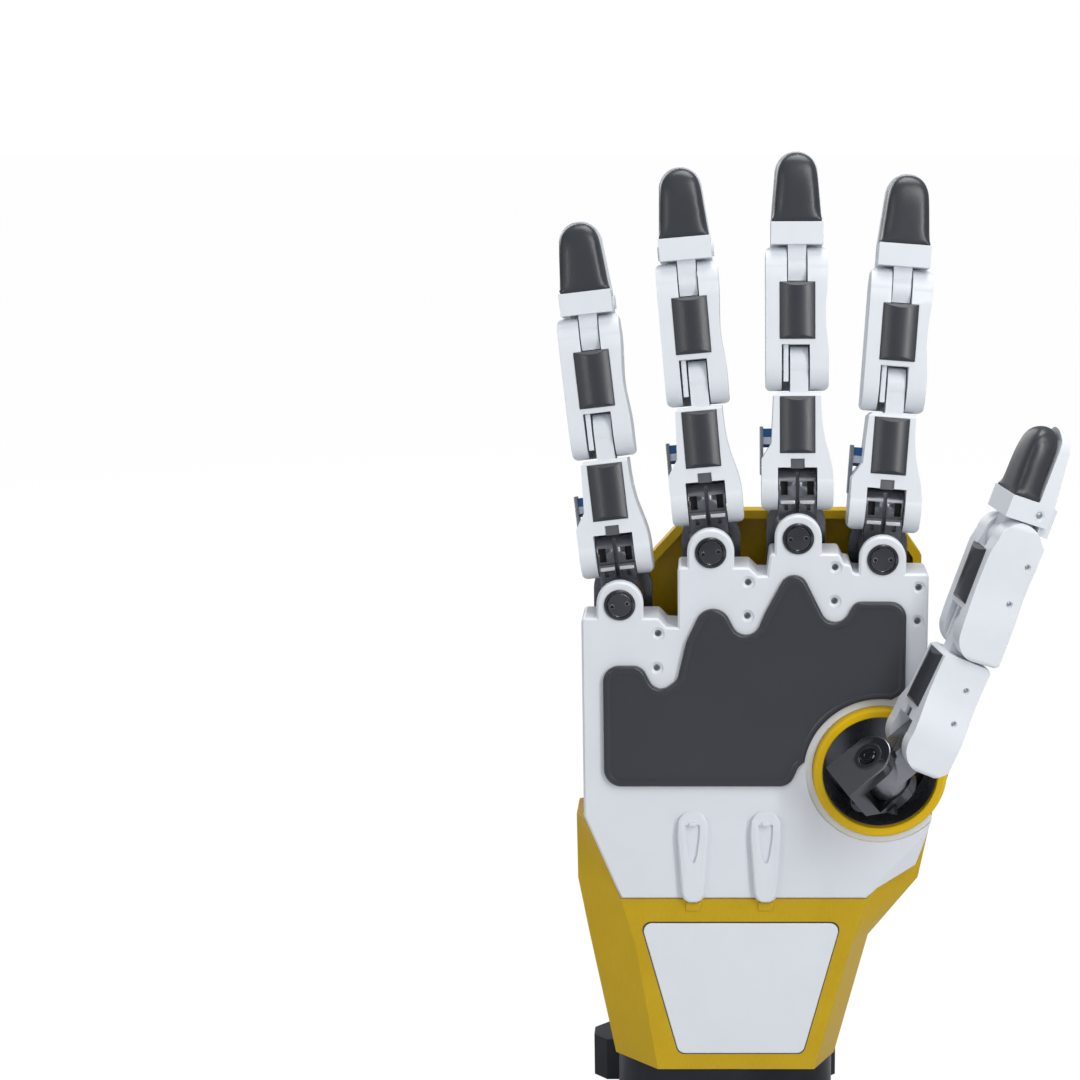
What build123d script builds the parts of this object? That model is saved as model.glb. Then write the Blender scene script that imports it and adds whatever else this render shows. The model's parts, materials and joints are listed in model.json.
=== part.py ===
from build123d import *
import os
from math import sqrt

# A right hand for a humanoid robot, palm towards -Y, fingers up along +Z, thumb towards +X.
# The origin is the centre of the wrist flange's underside. Sizes are in millimetres.

# Finger joints, measured along a straight finger from its spread pivot
knuckle_height = 13.0
proximal_length = 33.5
middle_length = 27.0
distal_length = 33.5
finger_lean_back = 9.0

# Where each finger's spread pivot sits on the palm, and how far it leans towards the thumb
finger_names = ["little", "ring", "middle", "index"]
pivot_x = {"little": -29.6, "ring": -4.0, "middle": 20.5, "index": 44.2}
pivot_z = {"little": 159.1, "ring": 174.1, "middle": 178.1, "index": 172.1}
finger_lean = {"little": -6.7, "ring": -5.0, "middle": -0.2, "index": 4.3}

# Clearances
running_clearance = 0.05
thrust_gap = 0.2
joint_gap = 0.4
fit_gap = 0.1
cut_overrun = 1.0

# Spread pivot: pin, barrel, front lug, rear ear and cap
pivot_pin_radius = 2.0
barrel_radius = 6.2
lug_radius = 6.6
ear_radius = 8.5
cap_radius = 4.4
cap_proud = 0.8
cap_seat_depth = 1.0
lug_stem = 9.0
ear_stem = 12.0

# Palm thickness: front face, wall, frame plate and back face, as depths along Y
palm_front_y = -14.0
cover_wall = 3.0
cover_edge_bevel = 0.6
skirt_wall = 2.6
skirt_back_y = 1.0
frame_front_y = 8.3
frame_thickness = 3.0
spine_width = 20.0
spine_overlap = 10.0
palm_back_y = 19.0
rear_wall = 2.5
rear_side_clip = 20.0
rear_shield_z = 147.0
rear_edge_bevel = 1.5
rear_seat_gap = 0.3

# Knuckle block and the shaft that the finger flexes on
knuckle_width = 10.5
knuckle_half_depth = 4.4
knuckle_split = 1.0
knuckle_shaft_radius = 2.0
knuckle_shaft_inset = 1.2
knuckle_ledge_bottom = 8.1
knuckle_ledge_top = 9.9
knuckle_ledge_depth = 0.8
knuckle_groove_inner = 2.6
knuckle_groove_width = 1.1
knuckle_groove_depth = 1.6

# Proximal link
proximal_base_width = 20.2
proximal_cheek_radius = 7.4
proximal_top_width = 13.2
proximal_depth = 14.4
proximal_back = 7.4
proximal_heel_bevel = 2.9
proximal_corner_radius = 1.6
proximal_top_bevel = 1.0
proximal_side_draft = 0.7
proximal_step_height = 14.5
proximal_step_rise = 2.0
proximal_step_length = 4.5
proximal_step_inset = 1.2
proximal_flare_start = 8.0
proximal_flare_end = 20.5
proximal_flare_width = 1.1
fork_gap = 0.3
fork_back_height = 0.5
shaft_end_gap = 0.1
notch_width = 4.0
notch_margin = 1.5

# Middle link
middle_width = 17.7
middle_waist = 0.9
middle_cheek_radius = 7.0
middle_top_radius = 6.4
middle_back = 7.2
middle_back_bevel = 1.0
middle_crown_height = 1.5
middle_crown_bevel = 2.8
middle_lower_corner = 1.4
middle_upper_corner = 1.8
middle_cheek_height = 8.0
middle_shoulder_depth = 6.0
middle_top_inset = 0.2
middle_front_rise = 3.0
lower_slot_left = -4.4
lower_slot_right = 3.5
lower_slot_height = 5.8
upper_slot_width = 5.8
upper_slot_depth = 3.7
middle_shoulder_gap = 0.5

# Tongues and pins of the two outer joints
lower_tongue_left = -2.0
lower_tongue_right = 3.1
lower_tongue_radius = 5.6
lower_tongue_step = 0.6
upper_tongue_width = 5.2
upper_tongue_radius = 5.4
upper_tongue_step = 2.0
joint_pin_radius = 1.5
joint_pin_length = 15.4
coupling_bar_width = 1.4
coupling_bar_depth = 2.4
coupling_bar_length = 10.4
coupling_bar_gap = 0.5
coupling_bar_rise = 0.6

# Fingertip
distal_base_width = 14.7
distal_tip_width = 12.3
distal_depth = 12.8
distal_band_height = 6.3
distal_nose_height = 10.0
distal_crest_y = 1.2
distal_back_straight = 5.0
distal_back_turn = 6.0
distal_back_taper = 1.2
tip_pad_depth = 8.6
tip_pad_inset = 0.25
tip_pad_root_step = 0.6
tip_pad_turn = 3.0
tip_pad_lip = 1.4
tip_pad_lip_height = 2.0
hood_width = 11.0
hood_back = 8.2
hood_root = 4.8
hood_drop = 2.6
hood_rise = 6.4
hood_bevel = 1.0

# Grip pads set into the links
grip_pad_width = 10.0
grip_pad_length = 16.0
grip_pad_proud = 1.3
grip_pad_seat = 1.0
grip_pad_bevel = 1.1
grip_pad_edge = 0.2
proximal_pad_start = 21.8
middle_pad_start = 53.8

# Connector on the little-finger side of each proximal link
connector_start = 20.5
connector_length = 11.4
connector_front = 2.0
connector_back = 6.5
plug_lengths = [2.4, 2.0, 1.0]
plug_start = 23.4
plug_width = 2.2
plug_inset = 0.5
bracket_width = 1.0

# Palm outline: a shelf under each finger, low steps between them, and the corner at the thumb
palm_left = -40.5
palm_right = 57.2
palm_shoulder_z = 94.0
palm_waist_z = 97.0
shelf_z = {"little": 155.2, "ring": 169.8, "middle": 173.7, "index": 168.0}
shelf_end = {"little": -18.9, "ring": 6.7, "middle": 32.0, "index": palm_right}
shelf_corner_radius = 1.2
ring_step_z = 167.4

# Low step past the end of each shelf, as run and height, and how far on the next shelf begins
shelf_steps = {
    "little": [(2.5, 152.6), (5.6, 152.4)],
    "ring": [(2.5, ring_step_z), (5.1, ring_step_z)],
    "middle": [(1.4, 170.8), (3.2, 170.6)],
    "index": [],
}
next_shelf_run = {"little": 5.6, "ring": 5.9, "middle": 4.0, "index": 0}
thumb_corner = [(palm_right, 105.0), (59.4, 96.0), (55.0, 81.6), (43.9, 75.0)]
cover_bottom_z = 71.9
cover_bottom_left = -30.0
cover_bottom_right = 40.7
facet_start = Vector(41.9, 75.0)
facet_end = Vector(54.5, 88.0)
facet_slope = 0.45
facet_reach = 15.0

# Back shell outline
rear_left_z = 147.6
rear_top_z = 181.3
rear_top_left = -9.8
rear_top_right = 48.0

# Thumb socket in the palm
socket_x = 44.2
socket_z = 110.2
ring_outer_radius = 19.2
ring_width = 2.8
ring_proud = 1.6
ring_edge_bevel = 0.8
ring_groove_width = 2.0
ring_groove_depth = 1.0
socket_wall = 1.6
socket_seat_gap = 0.2

# Wrist collar and flange
collar_width = 63.6
collar_depth = 41.0
collar_bottom_z = 6.0
collar_wall = 3.0
collar_spigot_height = 12.0
collar_spigot_inset = Vector(3.8, 4.6)
collar_block_left = -39.8
collar_block_right = 33.6
collar_block_front = 8.0
collar_block_back = 21.4
collar_block_height = 13.0
collar_block_bevel = 4.0
flange_radius = 31.0
flange_bore_radius = 8.0
flange_bolt_circle = 36.0
flange_bolt_hole_radius = 2.25
flange_bolt_count = 4

# Heel sheath, as wide and deep at its lower end as the collar under it
sheath_bottom_z = 22.0
sheath_wall = 2.6
sheath_side_lip = 0.4
sheath_back_lip = 1.0
sheath_front_setback = 0.3
sheath_front_top_y = -13.9
sheath_front_bottom_y = sheath_front_setback - collar_depth / 2
sheath_back_slant = 1.4

# Sheath sections from the wrist up: height, left side, left and right ends of the flat front,
# right side, then the depths where the sides begin, where they end, and of the back
sheath_levels = [
    (sheath_bottom_z, -collar_width / 2 - sheath_side_lip, -19.5, 25.9, collar_width / 2 + sheath_side_lip,
     -8.0, 12.0, collar_depth / 2 + sheath_back_lip),
    (58.0, -39.6, -25.8, 36.4, 41.9, -6.0, 12.0, 20.5),
    (75.0, -43.0, -31.0, 42.0, 56.4, -4.0, 12.0, 19.5),
    (palm_shoulder_z, -43.3, -38.5, 52.0, 60.5, -2.0, 12.0, palm_back_y),
]

# Cover screws
cover_screw_radius = 1.0
cover_screw_head_radius = 1.9
cover_screw_length = 7.0
cover_screw_sink = 0.3
cover_screw_seat_depth = 1.2
cover_post_radius = 2.3
cover_screw_points = [
    (-18.9, 150.7), (-19.3, 140.7), (6.5, 165.5), (6.3, 155.8),
    (30.9, 169.8), (30.8, 160.1), (54.4, 164.0), (54.2, 154.3),
]

# Palm pad
palm_pad_left = -34.5
palm_pad_right = 51.0
palm_pad_bottom = 106.2
palm_pad_top = 160.1
palm_pad_proud = 2.0
palm_pad_seat = 1.0
palm_pad_ring_gap = 2.6

# Corners of the palm pad, clockwise from the lower left, each with its radius
palm_pad_corners = [
    (palm_pad_left, palm_pad_bottom, 5.0), (palm_pad_left, 141.5, 4.5), (-23.5, 141.5, 4.0),
    (-19.3, 133.0, 3.5), (-13.5, 137.5, 3.0), (-11.0, 148.5, 6.0), (-3.6, 164.5, 5.0), (6.3, 145.0, 4.0),
    (11.5, 157.5, 6.0), (19.5, 172.5, 4.0), (30.9, 149.5, 4.0), (36.5, palm_pad_top, 3.0),
    (palm_pad_right, palm_pad_top, 4.5), (palm_pad_right, 134.0, 3.0), (44.0, 130.0, 4.0),
    (21.0, 112.0, 3.0), (18.5, palm_pad_bottom, 4.5),
]

# Fairings over the tendons at the heel of the palm
fairing_x = [-9.2, 11.7]
fairing_top_z = 99.0
fairing_width = 9.0
fairing_toe_width = 6.0
fairing_proud = 2.6
fairing_sink = 0.2
fairing_head = 7.0
fairing_taper = 28
fairing_window_width = 4.4
fairing_window_length = 12.0
fairing_window_top = 3.5
fairing_window_corner = 0.9
fairing_window_toe = 2.0
fairing_window_depth = 1.4

# Wrist panel
panel_top_z = 65.0
panel_height = 38.4
panel_top_width = 57.8
panel_bottom_width = 36.0
panel_center_x = 4.6
panel_thickness = 1.2
panel_proud = 0.4
panel_corner_radius = 2.4

# Thumb: the swing axis, the flexion axis and the places of its joints
thumb_cap_point = Vector(39.0, -36.0, 121.8)
thumb_swing_axis = Vector(-0.47, -0.55, 0.69).normalized()
thumb_knuckle_side = Vector(0.768, 0.133, 0.626)
thumb_flex_axis = Vector(0.222, -0.974, -0.048).normalized()
thumb_direction = Vector(0.416, 0.05, 0.908)
thumb_knuckle_drop = 9.4
thumb_knuckle_reach = 14.5
thumb_rest_bend = 5.0
thumb_barrel_length = 9.6
thumb_ear_thickness = 3.6
thumb_ear_radius = 6.8
saddle_reach = 11.0
saddle_web = 3.6
saddle_foot_width = 12.0
saddle_foot_height = 11.0
saddle_foot_length = 50.0
saddle_foot_shift = Vector(-2.5, -5.0)
saddle_foot_corner = 3.0

# Motors and board inside the palm
motor_radius = 5.8
motor_length = 28.0
motor_drop = 13.0
motor_end_gap = 1.0
board_thickness = 1.6
board_width = 52.0
board_height = 24.0
board_center_x = -10.0
board_bottom_z = 74.0

os.makedirs("parts", exist_ok=True)

# Heights of the joints along a straight finger
middle_joint_z = knuckle_height + proximal_length
tip_joint_z = middle_joint_z + middle_length
tip_z = tip_joint_z + distal_length

cover_back_y = palm_front_y + cover_wall
frame_back_y = frame_front_y + frame_thickness
barrel_front_y = cover_back_y + thrust_gap
barrel_back_y = frame_front_y - thrust_gap
link_front_y = -proximal_depth / 2
shoulder_z = middle_joint_z - middle_cheek_radius - middle_shoulder_gap
screw_end_y = palm_front_y + cover_screw_sink + cover_screw_length
rear_bottom_z = palm_shoulder_z + fit_gap
ring_inner_radius = ring_outer_radius - ring_width
socket_radius = ring_outer_radius - socket_seat_gap


def save(shape, name):
    """Write one finished piece under its own name."""
    shape.label = name
    export_step(shape, f"parts/{name}.step")


def front_slab(sketch, front_y, back_y):
    """Extrude a sketch drawn on the front plane between two depths."""
    with BuildPart() as slab:
        with BuildSketch(Plane.XZ.offset(-front_y)):
            add(sketch)
        extrude(amount=front_y - back_y)
    return slab.part


def make_knuckle():
    """Block that turns on the spread pivot and carries the flexion shaft."""
    half_width = knuckle_width / 2
    ledge_height = knuckle_ledge_top - knuckle_ledge_bottom
    groove_middle = knuckle_groove_inner + knuckle_groove_width / 2
    with BuildPart() as block:
        with BuildSketch(Plane.XZ.offset(-barrel_front_y)):
            Circle(barrel_radius)
        extrude(amount=barrel_front_y - barrel_back_y)
        with BuildSketch(Plane.YZ):
            with Locations((0, knuckle_height / 2)):
                Rectangle(2 * knuckle_half_depth, knuckle_height)
            with Locations((0, knuckle_height)):
                Circle(knuckle_half_depth)
            with Locations((-knuckle_half_depth, (knuckle_ledge_bottom + knuckle_ledge_top) / 2)):
                Rectangle(2 * knuckle_ledge_depth, ledge_height)
        extrude(amount=half_width, both=True)
        # upright grooves beside the two pillars, under the ledge
        with BuildSketch(Plane.XZ.offset(knuckle_half_depth)):
            with Locations((-groove_middle, (barrel_radius + knuckle_ledge_bottom) / 2),
                           (groove_middle, (barrel_radius + knuckle_ledge_bottom) / 2)):
                Rectangle(knuckle_groove_width, knuckle_ledge_bottom - barrel_radius)
        extrude(amount=-knuckle_groove_depth, mode=Mode.SUBTRACT)
        with BuildSketch(Plane.XZ.offset(-barrel_front_y)):
            Circle(pivot_pin_radius + running_clearance)
        extrude(amount=barrel_front_y - barrel_back_y, mode=Mode.SUBTRACT)
        with BuildSketch(Plane.XZ.offset(barrel_radius)):
            with Locations((0, barrel_radius + knuckle_height)):
                Rectangle(knuckle_split, 2 * knuckle_height)
        extrude(amount=-barrel_radius + pivot_pin_radius, mode=Mode.SUBTRACT)
        with BuildSketch(Plane.YZ):
            with Locations((0, knuckle_height)):
                Circle(knuckle_shaft_radius)
        extrude(amount=half_width, both=True, mode=Mode.SUBTRACT)
    with BuildPart() as shaft:
        with BuildSketch(Plane.YZ):
            with Locations((0, knuckle_height)):
                Circle(knuckle_shaft_radius)
        extrude(amount=proximal_base_width / 2 - knuckle_shaft_inset, both=True)
    return Compound(children=[block.part, shaft.part])


def proximal_front():
    """Front outline of the proximal link: a step on one side, a flare on the thumb's side."""
    half_base = proximal_base_width / 2
    half_top = proximal_top_width / 2
    base_z = knuckle_height - proximal_cheek_radius
    step_z = base_z + proximal_step_height
    flare_z = base_z + proximal_flare_start
    with BuildSketch() as front:
        with BuildLine():
            Polyline((-half_top, shoulder_z),
                     (-half_top - proximal_side_draft, step_z + proximal_step_length),
                     (-half_base + proximal_step_inset, step_z + proximal_step_rise), (-half_base, step_z),
                     (-half_base, base_z), (half_base, base_z), (half_base, flare_z))
            Spline((half_base, flare_z), (half_top + proximal_flare_width, base_z + proximal_flare_end),
                   (half_top, shoulder_z), tangents=((0, 1), (0, 1)))
            Line((half_top, shoulder_z), (-half_top, shoulder_z))
        make_face()
        fillet(front.vertices().group_by(Axis.Y)[0], proximal_corner_radius)
        chamfer(front.vertices().group_by(Axis.Y)[-1], proximal_top_bevel)
    return front.sketch


def make_proximal_case():
    """White link between the knuckle and the middle joint, with a fork below and a tongue above."""
    half_fork = knuckle_width / 2 + fork_gap
    base_z = knuckle_height - proximal_cheek_radius
    recess_radius = knuckle_half_depth + joint_gap
    fork_back_z = knuckle_height + fork_back_height
    tongue_bottom = shoulder_z - cut_overrun
    notch_bottom = knuckle_height + recess_radius - joint_gap
    notch_top = proximal_pad_start - notch_margin
    with BuildPart() as case:
        with BuildSketch(Plane.XZ):
            add(proximal_front())
        extrude(amount=2 * proximal_depth, both=True)
        with BuildSketch(Plane.YZ):
            with Locations((0, knuckle_height)):
                Circle(proximal_cheek_radius)
            with BuildLine():
                Polyline((0, base_z), (proximal_back - proximal_heel_bevel, base_z),
                         (proximal_back, base_z + proximal_heel_bevel),
                         (proximal_back, shoulder_z - proximal_top_bevel),
                         (proximal_back - proximal_top_bevel, shoulder_z),
                         (link_front_y + proximal_top_bevel, shoulder_z),
                         (link_front_y, shoulder_z - proximal_top_bevel), (link_front_y, knuckle_height),
                         (0, knuckle_height), close=True)
            make_face()
        extrude(amount=proximal_base_width, both=True, mode=Mode.INTERSECT)
        with BuildSketch(Plane.YZ):
            with BuildLine():
                Polyline((-proximal_depth, 0), (proximal_depth, 0), (proximal_depth, fork_back_z),
                         (recess_radius, fork_back_z), (recess_radius, knuckle_height))
                ThreePointArc((recess_radius, knuckle_height),
                              (recess_radius / sqrt(2), knuckle_height + recess_radius / sqrt(2)),
                              (0, knuckle_height + recess_radius))
                Polyline((0, knuckle_height + recess_radius),
                         (-proximal_depth, knuckle_height + recess_radius),
                         (-proximal_depth, 0))
            make_face()
        extrude(amount=half_fork, both=True, mode=Mode.SUBTRACT)
        with BuildSketch(Plane.YZ.offset(lower_tongue_left)):
            with Locations((0, middle_joint_z)):
                Circle(lower_tongue_radius)
            with Locations((0, (tongue_bottom + middle_joint_z) / 2)):
                Rectangle(2 * lower_tongue_radius - lower_tongue_step, middle_joint_z - tongue_bottom)
        extrude(amount=lower_tongue_right - lower_tongue_left)
        with BuildSketch(Plane.YZ):
            with Locations((0, middle_joint_z)):
                Circle(joint_pin_radius + running_clearance)
        extrude(amount=proximal_base_width, both=True, mode=Mode.SUBTRACT)
        with BuildSketch(Plane.YZ):
            with Locations((0, knuckle_height)):
                Circle(knuckle_shaft_radius + running_clearance)
        extrude(amount=proximal_base_width / 2 - knuckle_shaft_inset + shaft_end_gap, both=True,
                mode=Mode.SUBTRACT)
        with BuildSketch(Plane.XZ.offset(-link_front_y)):
            with Locations((0, proximal_pad_start + grip_pad_length / 2)):
                Rectangle(grip_pad_width, grip_pad_length)
            with Locations((0, (notch_bottom + notch_top) / 2)):
                Rectangle(notch_width, notch_top - notch_bottom)
        extrude(amount=-grip_pad_seat, mode=Mode.SUBTRACT)
    return case.part


def make_grip_pad(start_z):
    """Dark rubber pad with a crowned face and bevelled ends."""
    seat_y = link_front_y + grip_pad_seat
    face_y = link_front_y - grip_pad_proud
    edge_y = link_front_y - grip_pad_edge
    with BuildPart() as pad:
        with BuildSketch(Plane.XY.offset(start_z)):
            with BuildLine():
                Polyline((-grip_pad_width / 2, edge_y), (-grip_pad_width / 2, seat_y),
                         (grip_pad_width / 2, seat_y), (grip_pad_width / 2, edge_y))
                ThreePointArc((grip_pad_width / 2, edge_y), (0, face_y), (-grip_pad_width / 2, edge_y))
            make_face()
        extrude(amount=grip_pad_length)
        with BuildSketch(Plane.YZ):
            with BuildLine():
                Polyline((seat_y, start_z), (edge_y, start_z), (face_y, start_z + grip_pad_bevel),
                         (face_y, start_z + grip_pad_length - grip_pad_bevel),
                         (edge_y, start_z + grip_pad_length), (seat_y, start_z + grip_pad_length),
                         close=True)
            make_face()
        extrude(amount=grip_pad_width, both=True, mode=Mode.INTERSECT)
    return pad.part


def make_middle_case():
    """White link with a cheeked slot at each end, for the tongues of its neighbours."""
    half = middle_width / 2
    base_z = middle_joint_z - middle_cheek_radius
    top_z = tip_joint_z + middle_top_radius
    mid_z = (middle_joint_z + tip_joint_z) / 2
    crown_z = tip_joint_z + middle_crown_height
    slot_top = middle_joint_z + lower_slot_height
    with BuildPart() as case:
        with BuildSketch(Plane.XZ) as front:
            with BuildLine():
                Polyline((half, base_z), (-half, base_z), (-half, top_z), (half - middle_top_inset, top_z),
                         (half - middle_top_inset, top_z - middle_shoulder_depth))
                Spline((half - middle_top_inset, top_z - middle_shoulder_depth), (half - middle_waist, mid_z),
                       (half, base_z + middle_cheek_height), tangents=((0, -1), (0, -1)))
                Line((half, base_z + middle_cheek_height), (half, base_z))
            make_face()
            fillet(front.vertices().group_by(Axis.Y)[0], middle_lower_corner)
            fillet(front.vertices().group_by(Axis.Y)[-1], middle_upper_corner)
        extrude(amount=2 * middle_width, both=True)
        with BuildSketch(Plane.YZ):
            with Locations((0, middle_joint_z)):
                Circle(middle_cheek_radius)
            with Locations((0, tip_joint_z)):
                Circle(middle_top_radius)
            with BuildLine():
                Polyline((0, base_z), (middle_back - middle_back_bevel, base_z),
                         (middle_back, base_z + middle_back_bevel), (middle_back, crown_z),
                         (middle_back - middle_crown_bevel, crown_z + middle_crown_bevel),
                         (0, tip_joint_z), (-middle_top_radius, tip_joint_z),
                         (link_front_y, middle_pad_start + grip_pad_length),
                         (link_front_y, middle_joint_z + middle_front_rise),
                         (-middle_cheek_radius, middle_joint_z), (0, middle_joint_z), close=True)
            make_face()
        extrude(amount=middle_width, both=True, mode=Mode.INTERSECT)
        # lower slot, closed at the back by the cover
        with BuildSketch(Plane.YZ.offset(lower_slot_left)):
            with BuildLine():
                Polyline((-middle_width, base_z - cut_overrun), (-middle_width, slot_top), (0, slot_top))
                ThreePointArc((0, slot_top),
                              (lower_slot_height / sqrt(2), middle_joint_z + lower_slot_height / sqrt(2)),
                              (lower_slot_height, middle_joint_z))
                Polyline((lower_slot_height, middle_joint_z), (lower_slot_height, base_z - cut_overrun),
                         (-middle_width, base_z - cut_overrun))
            make_face()
        extrude(amount=lower_slot_right - lower_slot_left, mode=Mode.SUBTRACT)
        # upper slot, hollowed under the pad so that the tongue can turn
        with BuildSketch(Plane.YZ):
            with Locations((0, tip_joint_z)):
                Circle(upper_tongue_radius + joint_gap)
            with BuildLine():
                Polyline((-middle_width, tip_joint_z - upper_slot_depth), (0, tip_joint_z - upper_slot_depth),
                         (upper_tongue_radius + joint_gap, tip_joint_z),
                         (upper_tongue_radius + joint_gap, top_z + cut_overrun),
                         (-middle_width, top_z + cut_overrun), close=True)
            make_face()
        extrude(amount=upper_slot_width / 2, both=True, mode=Mode.SUBTRACT)
        with BuildSketch(Plane.YZ):
            with Locations((0, middle_joint_z), (0, tip_joint_z)):
                Circle(joint_pin_radius)
        extrude(amount=joint_pin_length / 2, both=True, mode=Mode.SUBTRACT)
        with BuildSketch(Plane.XZ.offset(-link_front_y)):
            with Locations((0, middle_pad_start + grip_pad_length / 2)):
                Rectangle(grip_pad_width, grip_pad_length)
        extrude(amount=-grip_pad_seat, mode=Mode.SUBTRACT)
    return case.part


def make_joint_pins():
    """The two hinge pins that the middle link holds, and the bar that couples the tip to the middle joint."""
    with BuildPart() as pins:
        with BuildSketch(Plane.YZ):
            with Locations((0, middle_joint_z), (0, tip_joint_z)):
                Circle(joint_pin_radius)
        extrude(amount=joint_pin_length / 2, both=True)
    bar_z = middle_joint_z + coupling_bar_rise
    with BuildPart() as bar:
        with BuildSketch(Plane.YZ.offset(lower_slot_left + coupling_bar_gap)):
            with Locations((coupling_bar_depth / 2 - lower_tongue_radius, bar_z)):
                Rectangle(coupling_bar_depth, coupling_bar_length)
        extrude(amount=coupling_bar_width)
    return Compound(children=[*pins.part.solids(), bar.part])


def distal_body(inset):
    """Outer form of the fingertip, from its base to the rounded end."""
    half_base = distal_base_width / 2 - inset
    half_tip = distal_tip_width / 2 - inset
    base_z = tip_joint_z + middle_top_radius + joint_gap
    end_z = tip_z - inset
    half_depth = distal_depth / 2
    nose = (inset - half_depth, end_z - distal_nose_height)
    shoulder = (half_depth - distal_back_taper, end_z - distal_back_turn)
    with BuildPart() as body:
        with BuildSketch(Plane.XZ):
            with BuildLine():
                Polyline((-half_tip, end_z - half_tip), (-half_base, base_z + distal_band_height),
                         (-half_base, base_z), (half_base, base_z), (half_base, base_z + distal_band_height),
                         (half_tip, end_z - half_tip))
                ThreePointArc((half_tip, end_z - half_tip), (0, end_z), (-half_tip, end_z - half_tip))
            make_face()
        extrude(amount=distal_depth, both=True)
        with BuildSketch(Plane.YZ):
            with BuildLine():
                Polyline(nose, (inset - half_depth, base_z), (half_depth, base_z),
                         (half_depth, base_z + distal_back_straight), shoulder)
                Spline(shoulder, (distal_crest_y, end_z), nose, tangents=((-0.1, 1), (0, -1)))
            make_face()
        extrude(amount=distal_depth, both=True, mode=Mode.INTERSECT)
    return body.part


def pad_region():
    """Space at the front of the fingertip that the rubber tip fills."""
    base_z = tip_joint_z + middle_top_radius + joint_gap + distal_band_height
    back_y = -distal_depth / 2 + tip_pad_depth
    with BuildPart() as region:
        with BuildSketch(Plane.YZ):
            with BuildLine():
                Polyline((-distal_depth, base_z), (back_y - tip_pad_root_step, base_z),
                         (back_y, tip_z - tip_pad_turn), (back_y - tip_pad_lip, tip_z + tip_pad_lip_height),
                         (-distal_depth, tip_z + tip_pad_lip_height), close=True)
            make_face()
        extrude(amount=distal_base_width, both=True)
    return region.part


def make_distal_case():
    """White fingertip link: tongue, band and the shell behind the rubber tip."""
    base_z = tip_joint_z + middle_top_radius + joint_gap
    tongue_start = tip_joint_z - upper_slot_depth + joint_gap
    tongue_end = base_z + cut_overrun
    with BuildPart() as case:
        add(distal_body(0))
        add(pad_region(), mode=Mode.SUBTRACT)
        with BuildSketch(Plane.YZ):
            with Locations((0, tip_joint_z)):
                Circle(upper_tongue_radius)
            with Locations((0, (tongue_start + tongue_end) / 2)):
                Rectangle(2 * upper_tongue_radius - upper_tongue_step, tongue_end - tongue_start)
        extrude(amount=upper_tongue_width / 2, both=True)
        # hood that drops behind the joint
        with BuildSketch(Plane.YZ):
            with BuildLine():
                Polyline((hood_root, base_z - hood_drop), (hood_back, base_z - hood_drop),
                         (hood_back, base_z + hood_rise - hood_bevel),
                         (hood_back - 2 * hood_bevel, base_z + hood_rise), (hood_root, base_z + hood_rise),
                         close=True)
            make_face()
        extrude(amount=hood_width / 2, both=True)
        with BuildSketch(Plane.XY.offset(tongue_start)):
            Rectangle(upper_tongue_width, distal_depth)
        extrude(amount=-2 * upper_tongue_radius, mode=Mode.SUBTRACT)
        with BuildSketch(Plane.YZ):
            with Locations((0, tip_joint_z)):
                Circle(joint_pin_radius + running_clearance)
        extrude(amount=distal_base_width, both=True, mode=Mode.SUBTRACT)
    return case.part


def make_tip_pad():
    """Dark rubber fingertip."""
    with BuildPart() as pad:
        add(distal_body(tip_pad_inset))
        add(pad_region(), mode=Mode.INTERSECT)
    return pad.part


def make_connector():
    """Bracket strip on the little-finger side of the proximal link, with the three parts of a plug on it."""
    wall_x = -proximal_top_width / 2 - proximal_side_draft
    strip_x = wall_x - plug_width
    with BuildPart() as bracket:
        with BuildSketch(Plane.XZ.offset(-connector_front)):
            with Locations((strip_x - bracket_width / 2, connector_start + connector_length / 2)):
                Rectangle(bracket_width, connector_length)
            with Locations((strip_x / 2 + wall_x / 2, connector_start + bracket_width / 2)):
                Rectangle(plug_width + 2 * bracket_width, bracket_width)
        extrude(amount=-(connector_back - connector_front))
        add(proximal_case, mode=Mode.SUBTRACT)
    pieces = [bracket.part]
    plug_z = plug_start
    for length in plug_lengths:
        with BuildPart() as plug:
            with BuildSketch(Plane.XZ.offset(-connector_front - plug_inset)):
                with Locations((strip_x / 2 + wall_x / 2, plug_z + length / 2)):
                    Rectangle(plug_width, length)
            extrude(amount=-(connector_back - connector_front - 2 * plug_inset))
            add(proximal_case, mode=Mode.SUBTRACT)
        pieces.append(plug.part)
        plug_z += length
    return Compound(children=[solid for piece in pieces for solid in piece.solids()])


knuckle = make_knuckle()
proximal_case = make_proximal_case()
proximal_pad = make_grip_pad(proximal_pad_start)
middle_case = make_middle_case()
middle_pad = make_grip_pad(middle_pad_start)
joint_pins = make_joint_pins()
distal_case = make_distal_case()
tip_pad = make_tip_pad()
connector = make_connector()

lean_back = Location((0, 0, 0), (-finger_lean_back, 0, 0))
tip_lean = Location((0, 0, knuckle_height)) * lean_back * Location((0, 0, -knuckle_height))
for name in finger_names:
    frame = Location((pivot_x[name], 0, pivot_z[name]), (0, finger_lean[name], 0))
    link = frame * tip_lean
    save(knuckle.moved(frame), f"{name}_knuckle")
    save(proximal_case.moved(link), f"{name}_proximal_case")
    save(proximal_pad.moved(link), f"{name}_proximal_pad")
    save(middle_case.moved(link), f"{name}_middle_case")
    save(middle_pad.moved(link), f"{name}_middle_pad")
    save(joint_pins.moved(link), f"{name}_joint_pins")
    save(distal_case.moved(link), f"{name}_distal_case")
    save(tip_pad.moved(link), f"{name}_tip_pad")
    save(connector.moved(link), f"{name}_connector")


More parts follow.
